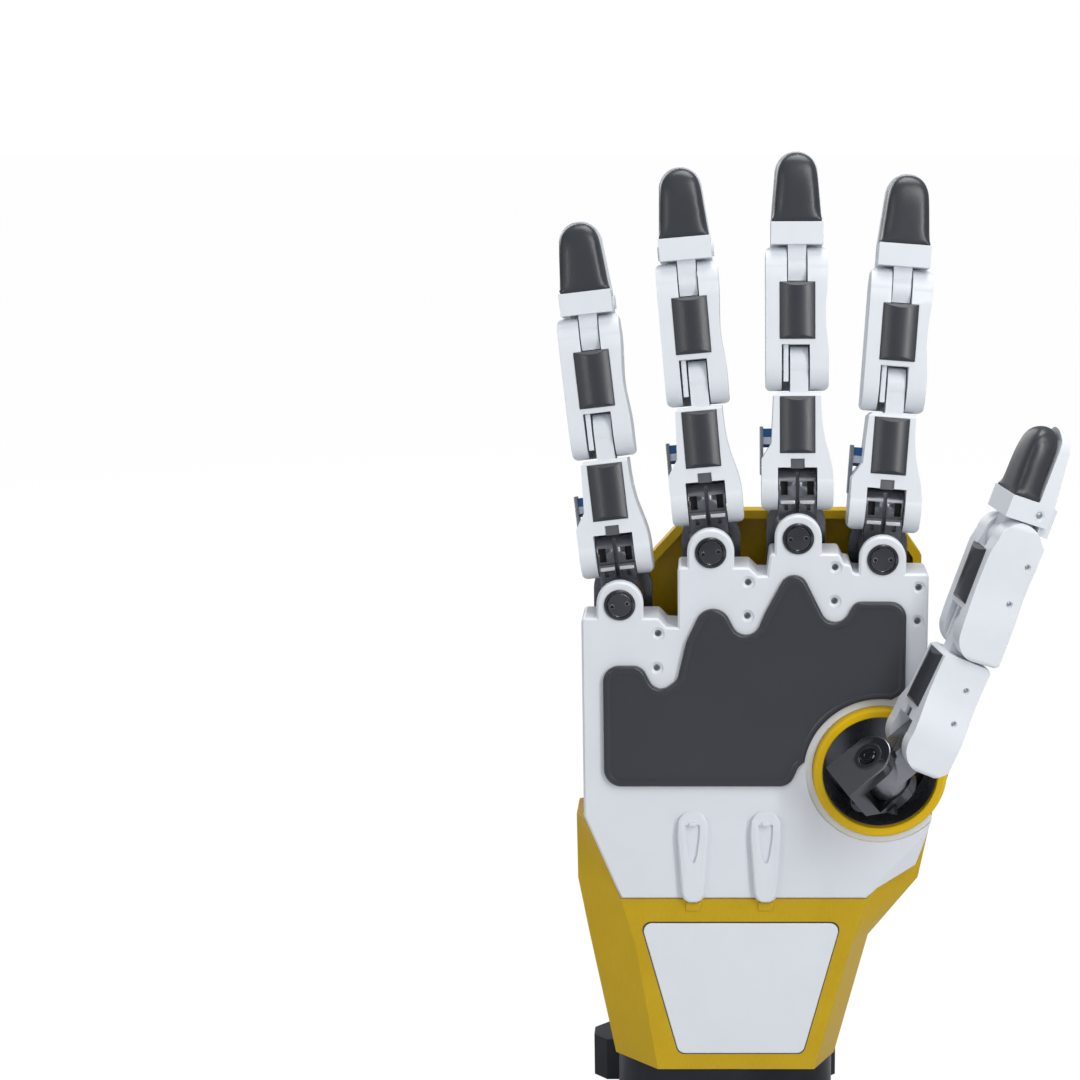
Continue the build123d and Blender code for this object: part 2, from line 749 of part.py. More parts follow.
def palm_outline():
    """Outline of the palm seen from the front, without the finger lugs."""
    points = [(cover_bottom_left, cover_bottom_z), (palm_left, palm_waist_z)]
    start_x = palm_left
    for finger in finger_names:
        end_x = shelf_end[finger]
        points += [(start_x, shelf_z[finger]), (end_x, shelf_z[finger])]
        points += [(end_x + run, z) for run, z in shelf_steps[finger]]
        start_x = end_x + next_shelf_run[finger]
    points += [*thumb_corner, (cover_bottom_right, cover_bottom_z)]
    with BuildSketch() as outline:
        with BuildLine():
            Polyline(*points, close=True)
        make_face()
        upper = outline.vertices().filter_by(lambda v: v.Y > shelf_z["little"] - fit_gap)
        fillet(upper.filter_by(lambda v: abs(v.Y - ring_step_z) > fit_gap), shelf_corner_radius)
    return outline.sketch


def pivot_circles(radius, drop=0.0):
    """A circle at every spread pivot, with a straight stem below it when drop is given."""
    with BuildSketch() as circles:
        for finger in finger_names:
            with Locations((pivot_x[finger], pivot_z[finger])):
                Circle(radius)
            if drop:
                with Locations((pivot_x[finger], pivot_z[finger] - drop / 2)):
                    Rectangle(2 * radius, drop)
    return circles.sketch


def screw_circles(radius):
    """A circle at every cover screw."""
    with BuildSketch() as circles:
        with Locations(*cover_screw_points):
            Circle(radius)
    return circles.sketch


def disc(point, radius):
    """A circle at one point of the front plane."""
    with BuildSketch() as circle:
        with Locations(point):
            Circle(radius)
    return circle.sketch


def shrunk(sketch, amount):
    """The same outline moved inwards by an amount."""
    with BuildSketch() as inner:
        add(sketch)
        offset(amount=-amount, kind=Kind.INTERSECTION)
    return inner.sketch


def palm_pad_outline():
    """Palm pad with three lobes that dip round the cover screws and an arc that clears the thumb ring."""
    with BuildSketch() as pad:
        with BuildLine():
            FilletPolyline(*[(x, z) for x, z, radius in palm_pad_corners], close=True,
                           radius=[radius for x, z, radius in palm_pad_corners])
        make_face()
        with Locations((socket_x, socket_z)):
            Circle(ring_outer_radius + palm_pad_ring_gap, mode=Mode.SUBTRACT)
    return pad.sketch


outline = palm_outline()
lugs = pivot_circles(lug_radius, drop=lug_stem)


def sheath_front_y(z):
    """Depth of the sheath's flat front at a height."""
    return sheath_front_top_y + (cover_bottom_z - z) * (sheath_front_bottom_y - sheath_front_top_y) / (
        cover_bottom_z - sheath_bottom_z)


def facet_plane():
    """Plane across the sloping facet at the cover's thumb-side corner, with Y pointing into the palm."""
    rise = facet_end - facet_start
    along = Vector(rise.X, 0, rise.Y).normalized()
    outward = Vector(along.Z, 0, -along.X)
    return Plane(origin=(facet_start.X, palm_front_y, facet_start.Y), x_dir=outward, z_dir=along)


def make_cover():
    """White front cover of the palm, with a lug for each finger and a hole for the thumb socket."""
    with BuildSketch() as face:
        add(outline)
        add(lugs)
    with BuildSketch() as skirt:
        add(outline)
        add(shrunk(outline, skirt_wall), mode=Mode.SUBTRACT)
        with Locations((0, palm_shoulder_z - palm_right)):
            Rectangle(4 * palm_right, 2 * (palm_right + fit_gap), mode=Mode.SUBTRACT)
    with BuildPart() as cover:
        add(front_slab(face.sketch, palm_front_y, cover_back_y))
        chamfer(cover.edges().group_by(Axis.Y)[0], cover_edge_bevel)
        add(front_slab(skirt.sketch, cover_back_y, skirt_back_y))
        add(front_slab(pivot_circles(barrel_radius + joint_gap), cover_back_y, skirt_back_y),
            mode=Mode.SUBTRACT)
        add(front_slab(disc((socket_x, socket_z), ring_outer_radius + fit_gap), palm_front_y, skirt_back_y),
            mode=Mode.SUBTRACT)
        add(front_slab(disc((socket_x, socket_z), ring_outer_radius + ring_groove_width), palm_front_y,
                       palm_front_y + ring_groove_depth), mode=Mode.SUBTRACT)
        add(front_slab(palm_pad_outline(), palm_front_y, palm_front_y + palm_pad_seat), mode=Mode.SUBTRACT)
        add(front_slab(pivot_circles(cap_radius), palm_front_y, palm_front_y + cap_seat_depth),
            mode=Mode.SUBTRACT)
        add(front_slab(pivot_circles(pivot_pin_radius), palm_front_y, cover_back_y), mode=Mode.SUBTRACT)
        add(front_slab(screw_circles(cover_screw_head_radius), palm_front_y,
                       palm_front_y + cover_screw_seat_depth), mode=Mode.SUBTRACT)
        add(front_slab(screw_circles(cover_screw_radius), palm_front_y, screw_end_y), mode=Mode.SUBTRACT)
        with BuildSketch(facet_plane()):
            with BuildLine():
                Polyline((0, 0), (0, -facet_reach), (facet_reach, -facet_reach),
                         (facet_reach, facet_reach * facet_slope), close=True)
            make_face()
        extrude(amount=2 * facet_reach, both=True, mode=Mode.SUBTRACT)
        for x in fairing_x:
            add(make_fairing(x))
    return cover.part


def make_fairing(x):
    """Tapered ridge with a drop-shaped hollow."""
    half = fairing_width / 2
    half_toe = fairing_toe_width / 2
    bottom = cover_bottom_z
    widest = fairing_top_z - fairing_head
    window_top = fairing_top_z - fairing_window_top
    window_end = window_top - fairing_window_length
    toe_z = window_end + fairing_window_toe
    half_window = fairing_window_width / 2 - fairing_window_corner
    half_window_toe = fairing_window_width / 4
    with BuildPart() as fairing:
        with BuildSketch(Plane.XZ.offset(-palm_front_y - fairing_sink)):
            with BuildLine():
                Polyline((x - half, widest), (x - half_toe, bottom), (x + half_toe, bottom),
                         (x + half, widest))
                ThreePointArc((x + half, widest), (x, fairing_top_z), (x - half, widest))
            make_face()
        extrude(amount=fairing_proud + fairing_sink, taper=fairing_taper)
        with BuildSketch(Plane.XZ.offset(-palm_front_y + fairing_proud)):
            with BuildLine():
                Polyline((x - half_window_toe, toe_z), (x - half_window, window_top),
                         (x + half_window, window_top), (x + half_window_toe, toe_z))
                ThreePointArc((x + half_window_toe, toe_z), (x, window_end), (x - half_window_toe, toe_z))
            make_face()
        extrude(amount=-fairing_window_depth, mode=Mode.SUBTRACT)
    return fairing.part


def make_frame():
    """Metal frame: back plate, rear ears, posts for the cover screws and a spine to the wrist."""
    inner = shrunk(outline, skirt_wall + joint_gap)
    spine_top_z = cover_bottom_z + spine_overlap
    with BuildSketch() as plate:
        add(inner)
        add(pivot_circles(ear_radius, drop=ear_stem))
        with Locations((0, (collar_bottom_z + spine_top_z) / 2)):
            Rectangle(spine_width, spine_top_z - collar_bottom_z)
        with Locations((palm_right - rear_wall - joint_gap + rear_side_clip / 2, palm_shoulder_z)):
            Rectangle(rear_side_clip, 3 * rear_side_clip, mode=Mode.SUBTRACT)
    with BuildSketch() as posts:
        add(screw_circles(cover_post_radius))
        add(inner, mode=Mode.INTERSECT)
    with BuildPart() as frame:
        add(front_slab(plate.sketch, frame_front_y, frame_back_y))
        add(front_slab(posts.sketch, cover_back_y, frame_front_y))
        add(front_slab(pivot_circles(pivot_pin_radius), frame_front_y, frame_back_y), mode=Mode.SUBTRACT)
        add(front_slab(screw_circles(cover_screw_radius), cover_back_y, screw_end_y), mode=Mode.SUBTRACT)
    return frame.part


def rear_shape(inset):
    """Outline of the back shell, moved inwards by the inset."""
    with BuildSketch() as shape:
        with BuildLine():
            Polyline((palm_left, rear_bottom_z), (palm_left, rear_left_z), (rear_top_left, rear_top_z),
                     (rear_top_right, rear_top_z), (palm_right, shelf_z["index"]),
                     (palm_right, rear_bottom_z), close=True)
        make_face()
        if inset:
            offset(amount=-inset, kind=Kind.INTERSECTION)
        with Locations((socket_x, socket_z)):
            Circle(ring_outer_radius + fit_gap + rear_wall - inset)
        with Locations((0, rear_bottom_z - palm_right + inset)):
            Rectangle(4 * palm_right, 2 * palm_right, mode=Mode.SUBTRACT)
    return shape.sketch


def make_rear_cover():
    """Yellow back shell that rises behind the knuckles as a shield."""
    outer = rear_shape(0)
    inner = rear_shape(rear_wall)
    with BuildSketch() as body:
        add(outer)
        with Locations((0, rear_shield_z + palm_right)):
            Rectangle(4 * palm_right, 2 * palm_right, mode=Mode.SUBTRACT)
    with BuildPart() as rear:
        add(front_slab(outer, frame_back_y + rear_seat_gap, palm_back_y))
        chamfer(rear.edges().group_by(Axis.Y)[-1], rear_edge_bevel)
        add(front_slab(body.sketch, skirt_back_y + fit_gap, frame_back_y + rear_seat_gap))
        add(front_slab(inner, skirt_back_y, palm_back_y - rear_wall), mode=Mode.SUBTRACT)
        with BuildSketch(Plane.XZ.offset(-skirt_back_y)):
            with Locations(((palm_left + palm_right) / 2, rear_bottom_z)):
                Rectangle(palm_right - palm_left - 2 * rear_wall, 4 * rear_wall)
        extrude(amount=-(palm_back_y - rear_wall - skirt_back_y), mode=Mode.SUBTRACT)
        add(front_slab(disc((socket_x, socket_z), ring_outer_radius + fit_gap), skirt_back_y,
                       frame_front_y + fit_gap), mode=Mode.SUBTRACT)
    return rear.part


def sheath_loft(inset):
    """Faceted tube form of the sheath, made smaller all round by the inset."""
    with BuildPart() as form:
        for z, left, front_left, front_right, right, side_front_y, side_back_y, back_y in sheath_levels:
            front_y = sheath_front_y(z)
            corner = sheath_back_slant * (back_y - side_back_y)
            with BuildSketch(Plane.XY.offset(z)):
                with BuildLine():
                    Polyline((front_left, front_y), (front_right, front_y), (right, side_front_y),
                             (right, side_back_y), (right - corner, back_y), (left + corner, back_y),
                             (left, side_back_y), (left, side_front_y), close=True)
                make_face()
                if inset:
                    offset(amount=-inset, kind=Kind.INTERSECTION)
        loft(ruled=True)
    return form.part


def make_sheath():
    """Yellow heel sheath between the palm and the wrist."""
    ahead_y = sheath_front_bottom_y - cut_overrun
    with BuildPart() as sheath:
        add(sheath_loft(0))
        add(sheath_loft(sheath_wall), mode=Mode.SUBTRACT)
        add(front_slab(shrunk(outline, -fit_gap), ahead_y, cover_back_y + fit_gap), mode=Mode.SUBTRACT)
        add(front_slab(disc((socket_x, socket_z), ring_outer_radius + fit_gap), ahead_y,
                       frame_front_y + fit_gap), mode=Mode.SUBTRACT)
        with BuildSketch(panel_plane()):
            add(panel_shape(fit_gap))
        extrude(amount=panel_proud - panel_thickness, mode=Mode.SUBTRACT)
    return sheath.part


def panel_plane():
    """Plane of the sheath's sloping front, centred on the wrist panel."""
    mid_z = panel_top_z - panel_height / 2
    run = cover_bottom_z - sheath_bottom_z
    rise = sheath_front_top_y - sheath_front_bottom_y
    return Plane(origin=(panel_center_x, sheath_front_y(mid_z), mid_z), x_dir=(1, 0, 0),
                 z_dir=(0, -run, rise))


def panel_shape(gap):
    """Trapezoid of the wrist panel with small corner radii."""
    half_top = panel_top_width / 2 + gap
    half_bottom = panel_bottom_width / 2 + gap
    half_height = panel_height / 2 + gap
    with BuildSketch() as shape:
        with BuildLine():
            FilletPolyline((-half_top, half_height), (half_top, half_height), (half_bottom, -half_height),
                           (-half_bottom, -half_height), close=True, radius=panel_corner_radius)
        make_face()
    return shape.sketch


def make_panel():
    """White plate let into the front of the sheath."""
    with BuildPart() as panel:
        with BuildSketch(panel_plane().offset(panel_proud)):
            add(panel_shape(0))
        extrude(amount=-panel_thickness)
    return panel.part


def make_collar():
    """Dark oval collar with a block behind it and a spigot that enters the sheath."""
    spigot_x = collar_width / 2 - collar_spigot_inset.X
    spigot_y = collar_depth / 2 - collar_spigot_inset.Y
    with BuildPart() as collar:
        with BuildSketch(Plane.XY.offset(collar_bottom_z)) as block:
            with BuildLine():
                Polyline((collar_block_left, collar_block_front), (collar_block_left, collar_block_back),
                         (collar_block_right, collar_block_back), (collar_block_right, collar_block_front),
                         close=True)
            make_face()
            chamfer(block.vertices(), collar_block_bevel)
        extrude(amount=collar_block_height)
        with BuildSketch(Plane.XY.offset(collar_bottom_z)):
            Ellipse(collar_width / 2, collar_depth / 2)
        extrude(amount=sheath_bottom_z - collar_bottom_z - fit_gap)
        with BuildSketch(Plane.XY.offset(sheath_bottom_z - fit_gap)):
            Ellipse(spigot_x, spigot_y)
        extrude(amount=collar_spigot_height)
        with BuildSketch(Plane.XY.offset(collar_bottom_z)):
            Ellipse(spigot_x - collar_wall, spigot_y - collar_wall)
        extrude(amount=2 * sheath_bottom_z, mode=Mode.SUBTRACT)
        with BuildSketch(Plane.XY.offset(collar_bottom_z)):
            Ellipse(collar_width / 2 - collar_wall, collar_depth / 2 - collar_wall)
        extrude(amount=sheath_bottom_z - collar_bottom_z - collar_wall, mode=Mode.SUBTRACT)
    return collar.part


def make_flange():
    """Wrist flange with its bolt circle and the central cable bore."""
    with BuildPart() as flange:
        with BuildSketch():
            Circle(flange_radius)
            Circle(flange_bore_radius, mode=Mode.SUBTRACT)
            with PolarLocations(flange_bolt_circle / 2, flange_bolt_count, start_angle=45):
                Circle(flange_bolt_hole_radius, mode=Mode.SUBTRACT)
        extrude(amount=collar_bottom_z)
        with BuildSketch():
            Ellipse(flange_radius, collar_depth / 2)
        extrude(amount=collar_bottom_z, mode=Mode.INTERSECT)
    return flange.part


def make_ring():
    """Yellow ring at the mouth of the thumb socket."""
    front_y = palm_front_y - ring_proud
    back_y = cover_back_y
    with BuildPart() as ring:
        add(front_slab(disc((socket_x, socket_z), ring_outer_radius), front_y, back_y))
        chamfer(ring.edges().group_by(Axis.Y)[0], ring_edge_bevel)
        add(front_slab(disc((socket_x, socket_z), ring_inner_radius), front_y, back_y), mode=Mode.SUBTRACT)
    return ring.part


def make_socket():
    """Dark cup that the thumb's saddle stands in."""
    with BuildPart() as socket:
        add(front_slab(disc((socket_x, socket_z), socket_radius), cover_back_y, frame_front_y))
        add(front_slab(disc((socket_x, socket_z), socket_radius - socket_wall), cover_back_y,
                       frame_front_y - socket_wall), mode=Mode.SUBTRACT)
    return socket.part


swing_side = thumb_knuckle_side - thumb_swing_axis * thumb_knuckle_side.dot(thumb_swing_axis)
swing_plane = Plane(origin=thumb_cap_point, x_dir=swing_side, z_dir=thumb_swing_axis)
thumb_knuckle_point = swing_plane.from_local_coords(Vector(thumb_knuckle_reach, 0, -thumb_knuckle_drop))
ear_front = -cap_proud
ear_back = ear_front - thumb_ear_thickness
barrel_start = ear_back - thrust_gap
barrel_end = barrel_start - thumb_barrel_length
far_ear_start = barrel_end - thrust_gap
far_ear_end = far_ear_start - thumb_ear_thickness


def swing_slab(start, end):
    """Plane across the thumb's swing axis and the extrusion that reaches from start down to end."""
    return swing_plane.offset(start), -(start - end)


def make_saddle():
    """Forked saddle in the socket: two ears, the web that joins them and the foot on the socket's floor."""
    with BuildPart() as saddle:
        with BuildSketch(Plane.XZ.offset(-(frame_front_y - socket_wall))):
            with Locations((socket_x + saddle_foot_shift.X, socket_z + saddle_foot_shift.Y)):
                RectangleRounded(saddle_foot_width, saddle_foot_height, saddle_foot_corner)
        extrude(amount=saddle_foot_length)
        foot_end = far_ear_start - thumb_ear_thickness / 2
        plane, amount = swing_slab(far_ear_start + saddle_foot_length, foot_end)
        with BuildSketch(plane):
            Rectangle(2 * saddle_foot_length, 2 * saddle_foot_length)
        extrude(amount=amount, mode=Mode.SUBTRACT)
        for start, end in ((ear_front, ear_back), (far_ear_start, far_ear_end)):
            plane, amount = swing_slab(start, end)
            with BuildSketch(plane):
                Circle(thumb_ear_radius)
                with Locations((-saddle_reach / 2, 0)):
                    Rectangle(saddle_reach, 2 * thumb_ear_radius)
            extrude(amount=amount)
        plane, amount = swing_slab(ear_front, far_ear_end)
        with BuildSketch(plane):
            with Locations((-saddle_reach + saddle_web / 2, 0)):
                Rectangle(saddle_web, 2 * thumb_ear_radius)
        extrude(amount=amount)
        plane, amount = swing_slab(ear_front, far_ear_end)
        with BuildSketch(plane):
            Circle(pivot_pin_radius)
        extrude(amount=amount, mode=Mode.SUBTRACT)
    return saddle.part


def make_thumb_knuckle():
    """Thumb's own knuckle: a barrel on the swing axis and a neck that carries the flexion shaft."""
    neck_axis = swing_side - thumb_flex_axis * swing_side.dot(thumb_flex_axis)
    neck_plane = Plane(origin=thumb_knuckle_point, x_dir=neck_axis, z_dir=thumb_flex_axis)
    half_width = knuckle_width / 2
    with BuildPart() as block:
        with BuildSketch(neck_plane):
            Circle(knuckle_half_depth)
            with Locations((-thumb_knuckle_reach / 2, 0)):
                Rectangle(thumb_knuckle_reach, 2 * knuckle_half_depth)
        extrude(amount=half_width, both=True)
        for start, end in ((thumb_knuckle_reach, barrel_start),
                           (barrel_end, barrel_end - thumb_knuckle_reach)):
            plane, amount = swing_slab(start, end)
            with BuildSketch(plane):
                Circle(thumb_ear_radius + joint_gap)
            extrude(amount=amount, mode=Mode.SUBTRACT)
        plane, amount = swing_slab(barrel_start, barrel_end)
        with BuildSketch(plane):
            Circle(barrel_radius)
        extrude(amount=amount)
        with BuildSketch(plane):
            Circle(pivot_pin_radius + running_clearance)
        extrude(amount=amount, mode=Mode.SUBTRACT)
        with BuildSketch(neck_plane):
            Circle(knuckle_shaft_radius)
        extrude(amount=half_width, both=True, mode=Mode.SUBTRACT)
    with BuildPart() as shaft:
        with BuildSketch(neck_plane):
            Circle(knuckle_shaft_radius)
        extrude(amount=proximal_base_width / 2 - knuckle_shaft_inset, both=True)
    return Compound(children=[block.part, shaft.part])


def make_pivot_pins():
    """Pins of the spread pivots and of the thumb's swing."""
    plane, amount = swing_slab(ear_front - cap_seat_depth, far_ear_end)
    with BuildPart() as pins:
        add(front_slab(pivot_circles(pivot_pin_radius), palm_front_y + cap_seat_depth, frame_back_y))
        with BuildSketch(plane):
            Circle(pivot_pin_radius)
        extrude(amount=amount)
    return pins.part


def make_pivot_caps():
    """Round caps over the pins."""
    with BuildPart() as caps:
        add(front_slab(pivot_circles(cap_radius), palm_front_y - cap_proud, palm_front_y + cap_seat_depth))
        with BuildSketch(swing_plane):
            Circle(cap_radius)
        extrude(amount=-cap_proud)
    return caps.part


def make_screws():
    """Flat-headed screws of the front cover."""
    head_y = palm_front_y + cover_screw_sink
    with BuildPart() as screws:
        add(front_slab(screw_circles(cover_screw_head_radius), head_y, palm_front_y + cover_screw_seat_depth))
        add(front_slab(screw_circles(cover_screw_radius), head_y, head_y + cover_screw_length))
    return screws.part


def make_motors():
    """One finger motor below each spread pivot, lying on the frame plate and clear of the thumb socket."""
    socket_top_z = socket_z + ring_outer_radius + motor_end_gap
    with BuildPart() as motors:
        for finger in finger_names:
            top_z = pivot_z[finger] - motor_drop
            length = min(motor_length, top_z - socket_top_z) if finger == "index" else motor_length
            with BuildSketch(Plane.XY.offset(top_z)):
                with Locations((pivot_x[finger], frame_front_y - motor_radius - running_clearance)):
                    Circle(motor_radius)
            extrude(amount=-length)
    return motors.part


def make_board():
    """Control board on the frame plate at the heel of the palm."""
    with BuildPart() as board:
        with BuildSketch(Plane.XZ.offset(-frame_front_y + board_thickness)):
            with Locations((board_center_x, board_bottom_z + board_height / 2)):
                Rectangle(board_width, board_height)
        extrude(amount=-board_thickness)
    return board.part


for name, shape in (
    ("palm_cover", make_cover()),
    ("palm_pad", front_slab(palm_pad_outline(), palm_front_y - palm_pad_proud, palm_front_y + palm_pad_seat)),
    ("palm_frame", make_frame()),
    ("rear_cover", make_rear_cover()),
    ("heel_sheath", make_sheath()),
    ("wrist_panel", make_panel()),
    ("wrist_collar", make_collar()),
    ("wrist_flange", make_flange()),
    ("thumb_ring", make_ring()),
    ("thumb_socket", make_socket()),
    ("thumb_saddle", make_saddle()),
    ("pivot_pins", make_pivot_pins()),
    ("pivot_caps", make_pivot_caps()),
    ("cover_screws", make_screws()),
    ("finger_motors", make_motors()),
    ("control_board", make_board()),
    ("thumb_knuckle", make_thumb_knuckle()),
):
    save(shape, name)

thumb_side = thumb_direction.cross(thumb_flex_axis)
thumb_plane = Plane(origin=thumb_knuckle_point, x_dir=thumb_flex_axis,
                    z_dir=thumb_flex_axis.cross(thumb_side))
base_link = thumb_plane.location * Location((0, 0, -knuckle_height))
rest_bend = Location((0, 0, 0), (thumb_rest_bend, 0, 0))
outer_link = base_link * Location((0, 0, middle_joint_z)) * rest_bend * Location((0, 0, -middle_joint_z))
save(proximal_case.moved(base_link), "thumb_proximal_case")
save(proximal_pad.moved(base_link), "thumb_proximal_pad")
save(middle_case.moved(outer_link), "thumb_middle_case")
save(middle_pad.moved(outer_link), "thumb_middle_pad")
save(joint_pins.moved(outer_link), "thumb_joint_pins")
save(distal_case.moved(outer_link), "thumb_distal_case")
save(tip_pad.moved(outer_link), "thumb_tip_pad")
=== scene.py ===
"""Looks of a dexterous robot hand: finishes, softened mouldings, fine details, studio and camera."""

import json
import logging
from collections.abc import Callable, Iterable
from dataclasses import dataclass, field
from enum import Enum
from math import cos, pi, radians, sin

import bmesh
import bpy
from mathutils import Matrix, Vector
from mathutils.bvhtree import BVHTree

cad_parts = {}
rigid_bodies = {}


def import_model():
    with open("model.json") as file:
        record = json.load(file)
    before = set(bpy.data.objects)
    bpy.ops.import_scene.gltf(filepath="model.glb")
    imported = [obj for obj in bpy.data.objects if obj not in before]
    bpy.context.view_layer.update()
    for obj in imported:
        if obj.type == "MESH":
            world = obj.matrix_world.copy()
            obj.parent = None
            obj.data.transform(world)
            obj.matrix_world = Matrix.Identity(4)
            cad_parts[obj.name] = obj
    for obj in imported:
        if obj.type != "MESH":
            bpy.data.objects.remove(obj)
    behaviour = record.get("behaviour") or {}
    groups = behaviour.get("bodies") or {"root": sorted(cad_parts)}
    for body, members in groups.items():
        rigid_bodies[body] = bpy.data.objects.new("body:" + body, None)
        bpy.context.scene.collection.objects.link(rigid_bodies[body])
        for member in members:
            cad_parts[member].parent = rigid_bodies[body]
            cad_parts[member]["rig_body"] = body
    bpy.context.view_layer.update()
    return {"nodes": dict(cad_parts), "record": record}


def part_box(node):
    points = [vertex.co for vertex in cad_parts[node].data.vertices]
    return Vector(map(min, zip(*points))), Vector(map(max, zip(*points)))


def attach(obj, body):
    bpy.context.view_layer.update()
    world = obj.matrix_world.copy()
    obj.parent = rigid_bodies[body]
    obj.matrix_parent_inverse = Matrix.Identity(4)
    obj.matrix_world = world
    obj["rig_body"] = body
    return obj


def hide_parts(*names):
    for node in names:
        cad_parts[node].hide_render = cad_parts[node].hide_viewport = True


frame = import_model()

MM = 0.001
JOINTS = {joint["name"]: joint for joint in frame["record"]["behaviour"]["joints"]}
log = logging.getLogger("hand")


class Slot(Enum):
    """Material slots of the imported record."""

    WHITE = "white_casing"
    RUBBER = "dark_rubber"
    GIMBAL = "gimbal_metal"
    YELLOW = "yellow_casing"
    SHEATH = "sheath_metal"
    COLLAR = "collar_metal"
    BLACK = "black_metal"
    STEEL = "pin_steel"
    CONNECTOR = "connector_plastic"
    MOTOR = "motor_steel"
    BOARD = "board"


def linear(hex_colour: str) -> tuple[float, float, float, float]:
    """Turn an sRGB hex colour to linear RGBA.

    Args:
        hex_colour: six hex digits with a leading hash sign.

    Returns:
        The linear red, green and blue, and an alpha of 1.
    """
    channels = [int(hex_colour[i:i + 2], 16) / 255 for i in (1, 3, 5)]
    curve = [c / 12.92 if c <= 0.04045 else ((c + 0.055) / 1.055) ** 2.4 for c in channels]
    return (*curve, 1.0)


def add_node(tree: bpy.types.NodeTree, kind: str, inputs: dict | None = None, **settings) -> bpy.types.Node:
    """Add one shader node.

    Args:
        tree: the node tree that takes it.
        kind: the node's type name.
        inputs: socket name or index to a value, or to the output socket that feeds it.
        settings: the node's own properties.

    Returns:
        The new node.
    """
    made = tree.nodes.new(kind)
    for key, value in settings.items():
        setattr(made, key, value)
    for socket, value in (inputs or {}).items():
        if isinstance(value, bpy.types.NodeSocket):
            tree.links.new(value, made.inputs[socket])
        else:
            made.inputs[socket].default_value = value
    return made


def ramp(tree: bpy.types.NodeTree, factor: bpy.types.NodeSocket, low: float, high: float,
         dark: tuple, light: tuple) -> bpy.types.NodeSocket:
    """Blend two colours between two values of a pattern.

    Args:
        tree: the node tree.
        factor: the pattern's output.
        low: pattern value that shows the dark colour.
        high: pattern value that shows the light colour.
        dark: linear RGBA.
        light: linear RGBA.

    Returns:
        The colour output.
    """
    made = add_node(tree, "ShaderNodeValToRGB", {0: factor})
    made.color_ramp.elements[0].position = low
    made.color_ramp.elements[1].position = high
    made.color_ramp.elements[0].color = dark
    made.color_ramp.elements[1].color = light
    return made.outputs[0]


@dataclass(frozen=True)
class Finish:
    """A surface finish: the material's colours and gloss, and the real size of its grain.

    The mottle is a slow change of colour over patch_mm. The grain is a bump of grain_mm, and stretch
    draws it out along Z, as brushing does. The edge colour is painted on the sharpest convex edges.
    """

    name: str
    colour: str
    shade: str
    roughness: float
    metallic: float = 0.0
    ior: float = 1.5
    coat: float = 0.0
    patch_mm: float = 12.0
    grain_mm: float = 0.6
    grain_depth: float = 0.04
    stretch: float = 1.0
    roughness_swing: float = 0.06
    edge_tint: str | None = None
    slot: Slot = Slot.WHITE

    def material(self) -> bpy.types.Material:
        """Return the material, made on first use."""
        found = bpy.data.materials.get(self.name)
        return found or self.build()

    def build(self) -> bpy.types.Material:
        """Make the node tree of the finish.

        Returns:
            The new material.
        """
        made = bpy.data.materials.new(self.name)
        made.use_nodes = True
        tree = made.node_tree
        shader = tree.nodes["Principled BSDF"]
        place = add_node(tree, "ShaderNodeTexCoord").outputs["Object"]
        drawn = add_node(tree, "ShaderNodeMapping", {"Vector": place, "Scale": (1.0, 1.0, 1.0 / self.stretch)})
        patches = add_node(tree, "ShaderNodeTexNoise",
                           {"Vector": place, "Scale": 1.0 / (self.patch_mm * MM), "Detail": 3.0})
        grain = add_node(tree, "ShaderNodeTexNoise",
                         {"Vector": drawn.outputs[0], "Scale": 1.0 / (self.grain_mm * MM), "Detail": 4.0})
        mottled = ramp(tree, patches.outputs[0], 0.3, 0.7, linear(self.shade), linear(self.colour))
        if self.stretch > 1.0:
            streaks = ramp(tree, grain.outputs[0], 0.3, 0.72, linear(self.shade), linear(self.colour))
            mixed = add_node(tree, "ShaderNodeMix", {0: 0.6, 6: mottled, 7: streaks}, data_type="RGBA")
            mottled = mixed.outputs[2]
        # Paint the sharpest convex edges, found by their pointiness, in the lighter edge colour
        if self.edge_tint:
            edge = add_node(tree, "ShaderNodeNewGeometry").outputs["Pointiness"]
            edge_mask = add_node(tree, "ShaderNodeMapRange", {0: edge, 1: 0.53, 2: 0.62, 3: 0.0, 4: 0.55})
            mixed = add_node(tree, "ShaderNodeMix", {0: edge_mask.outputs[0], 6: mottled, 7: linear(self.edge_tint)},
                             data_type="RGBA")
            mottled = mixed.outputs[2]
        gloss = add_node(tree, "ShaderNodeMapRange",
                         {0: patches.outputs[0], 1: 0.3, 2: 0.7, 3: self.roughness - self.roughness_swing,
                          4: self.roughness + self.roughness_swing})
        bump = add_node(tree, "ShaderNodeBump",
                        {"Height": grain.outputs[0], "Strength": self.grain_depth, "Distance": self.grain_mm * MM})
        shader.inputs["Metallic"].default_value = self.metallic
        shader.inputs["IOR"].default_value = self.ior
        shader.inputs["Coat Weight"].default_value = self.coat
        shader.inputs["Coat Roughness"].default_value = 0.12
        tree.links.new(mottled, shader.inputs["Base Color"])
        tree.links.new(gloss.outputs[0], shader.inputs["Roughness"])
        tree.links.new(bump.outputs[0], shader.inputs["Normal"])
        return made


# Injection-moulded ABS, lightly textured in the tool: cool white with a soft satin gloss
WHITE = Finish("white_moulded_abs", "#E4E8ED", "#E1E5EA", 0.32, grain_mm=0.5, grain_depth=0.03,
               roughness_swing=0.02, slot=Slot.WHITE)
# Moulded silicone rubber: charcoal, even, with broad soft highlights
RUBBER = Finish("charcoal_moulded_rubber", "#35383D", "#33363B", 0.30, grain_mm=0.35, grain_depth=0.08,
                roughness_swing=0.01, slot=Slot.RUBBER)
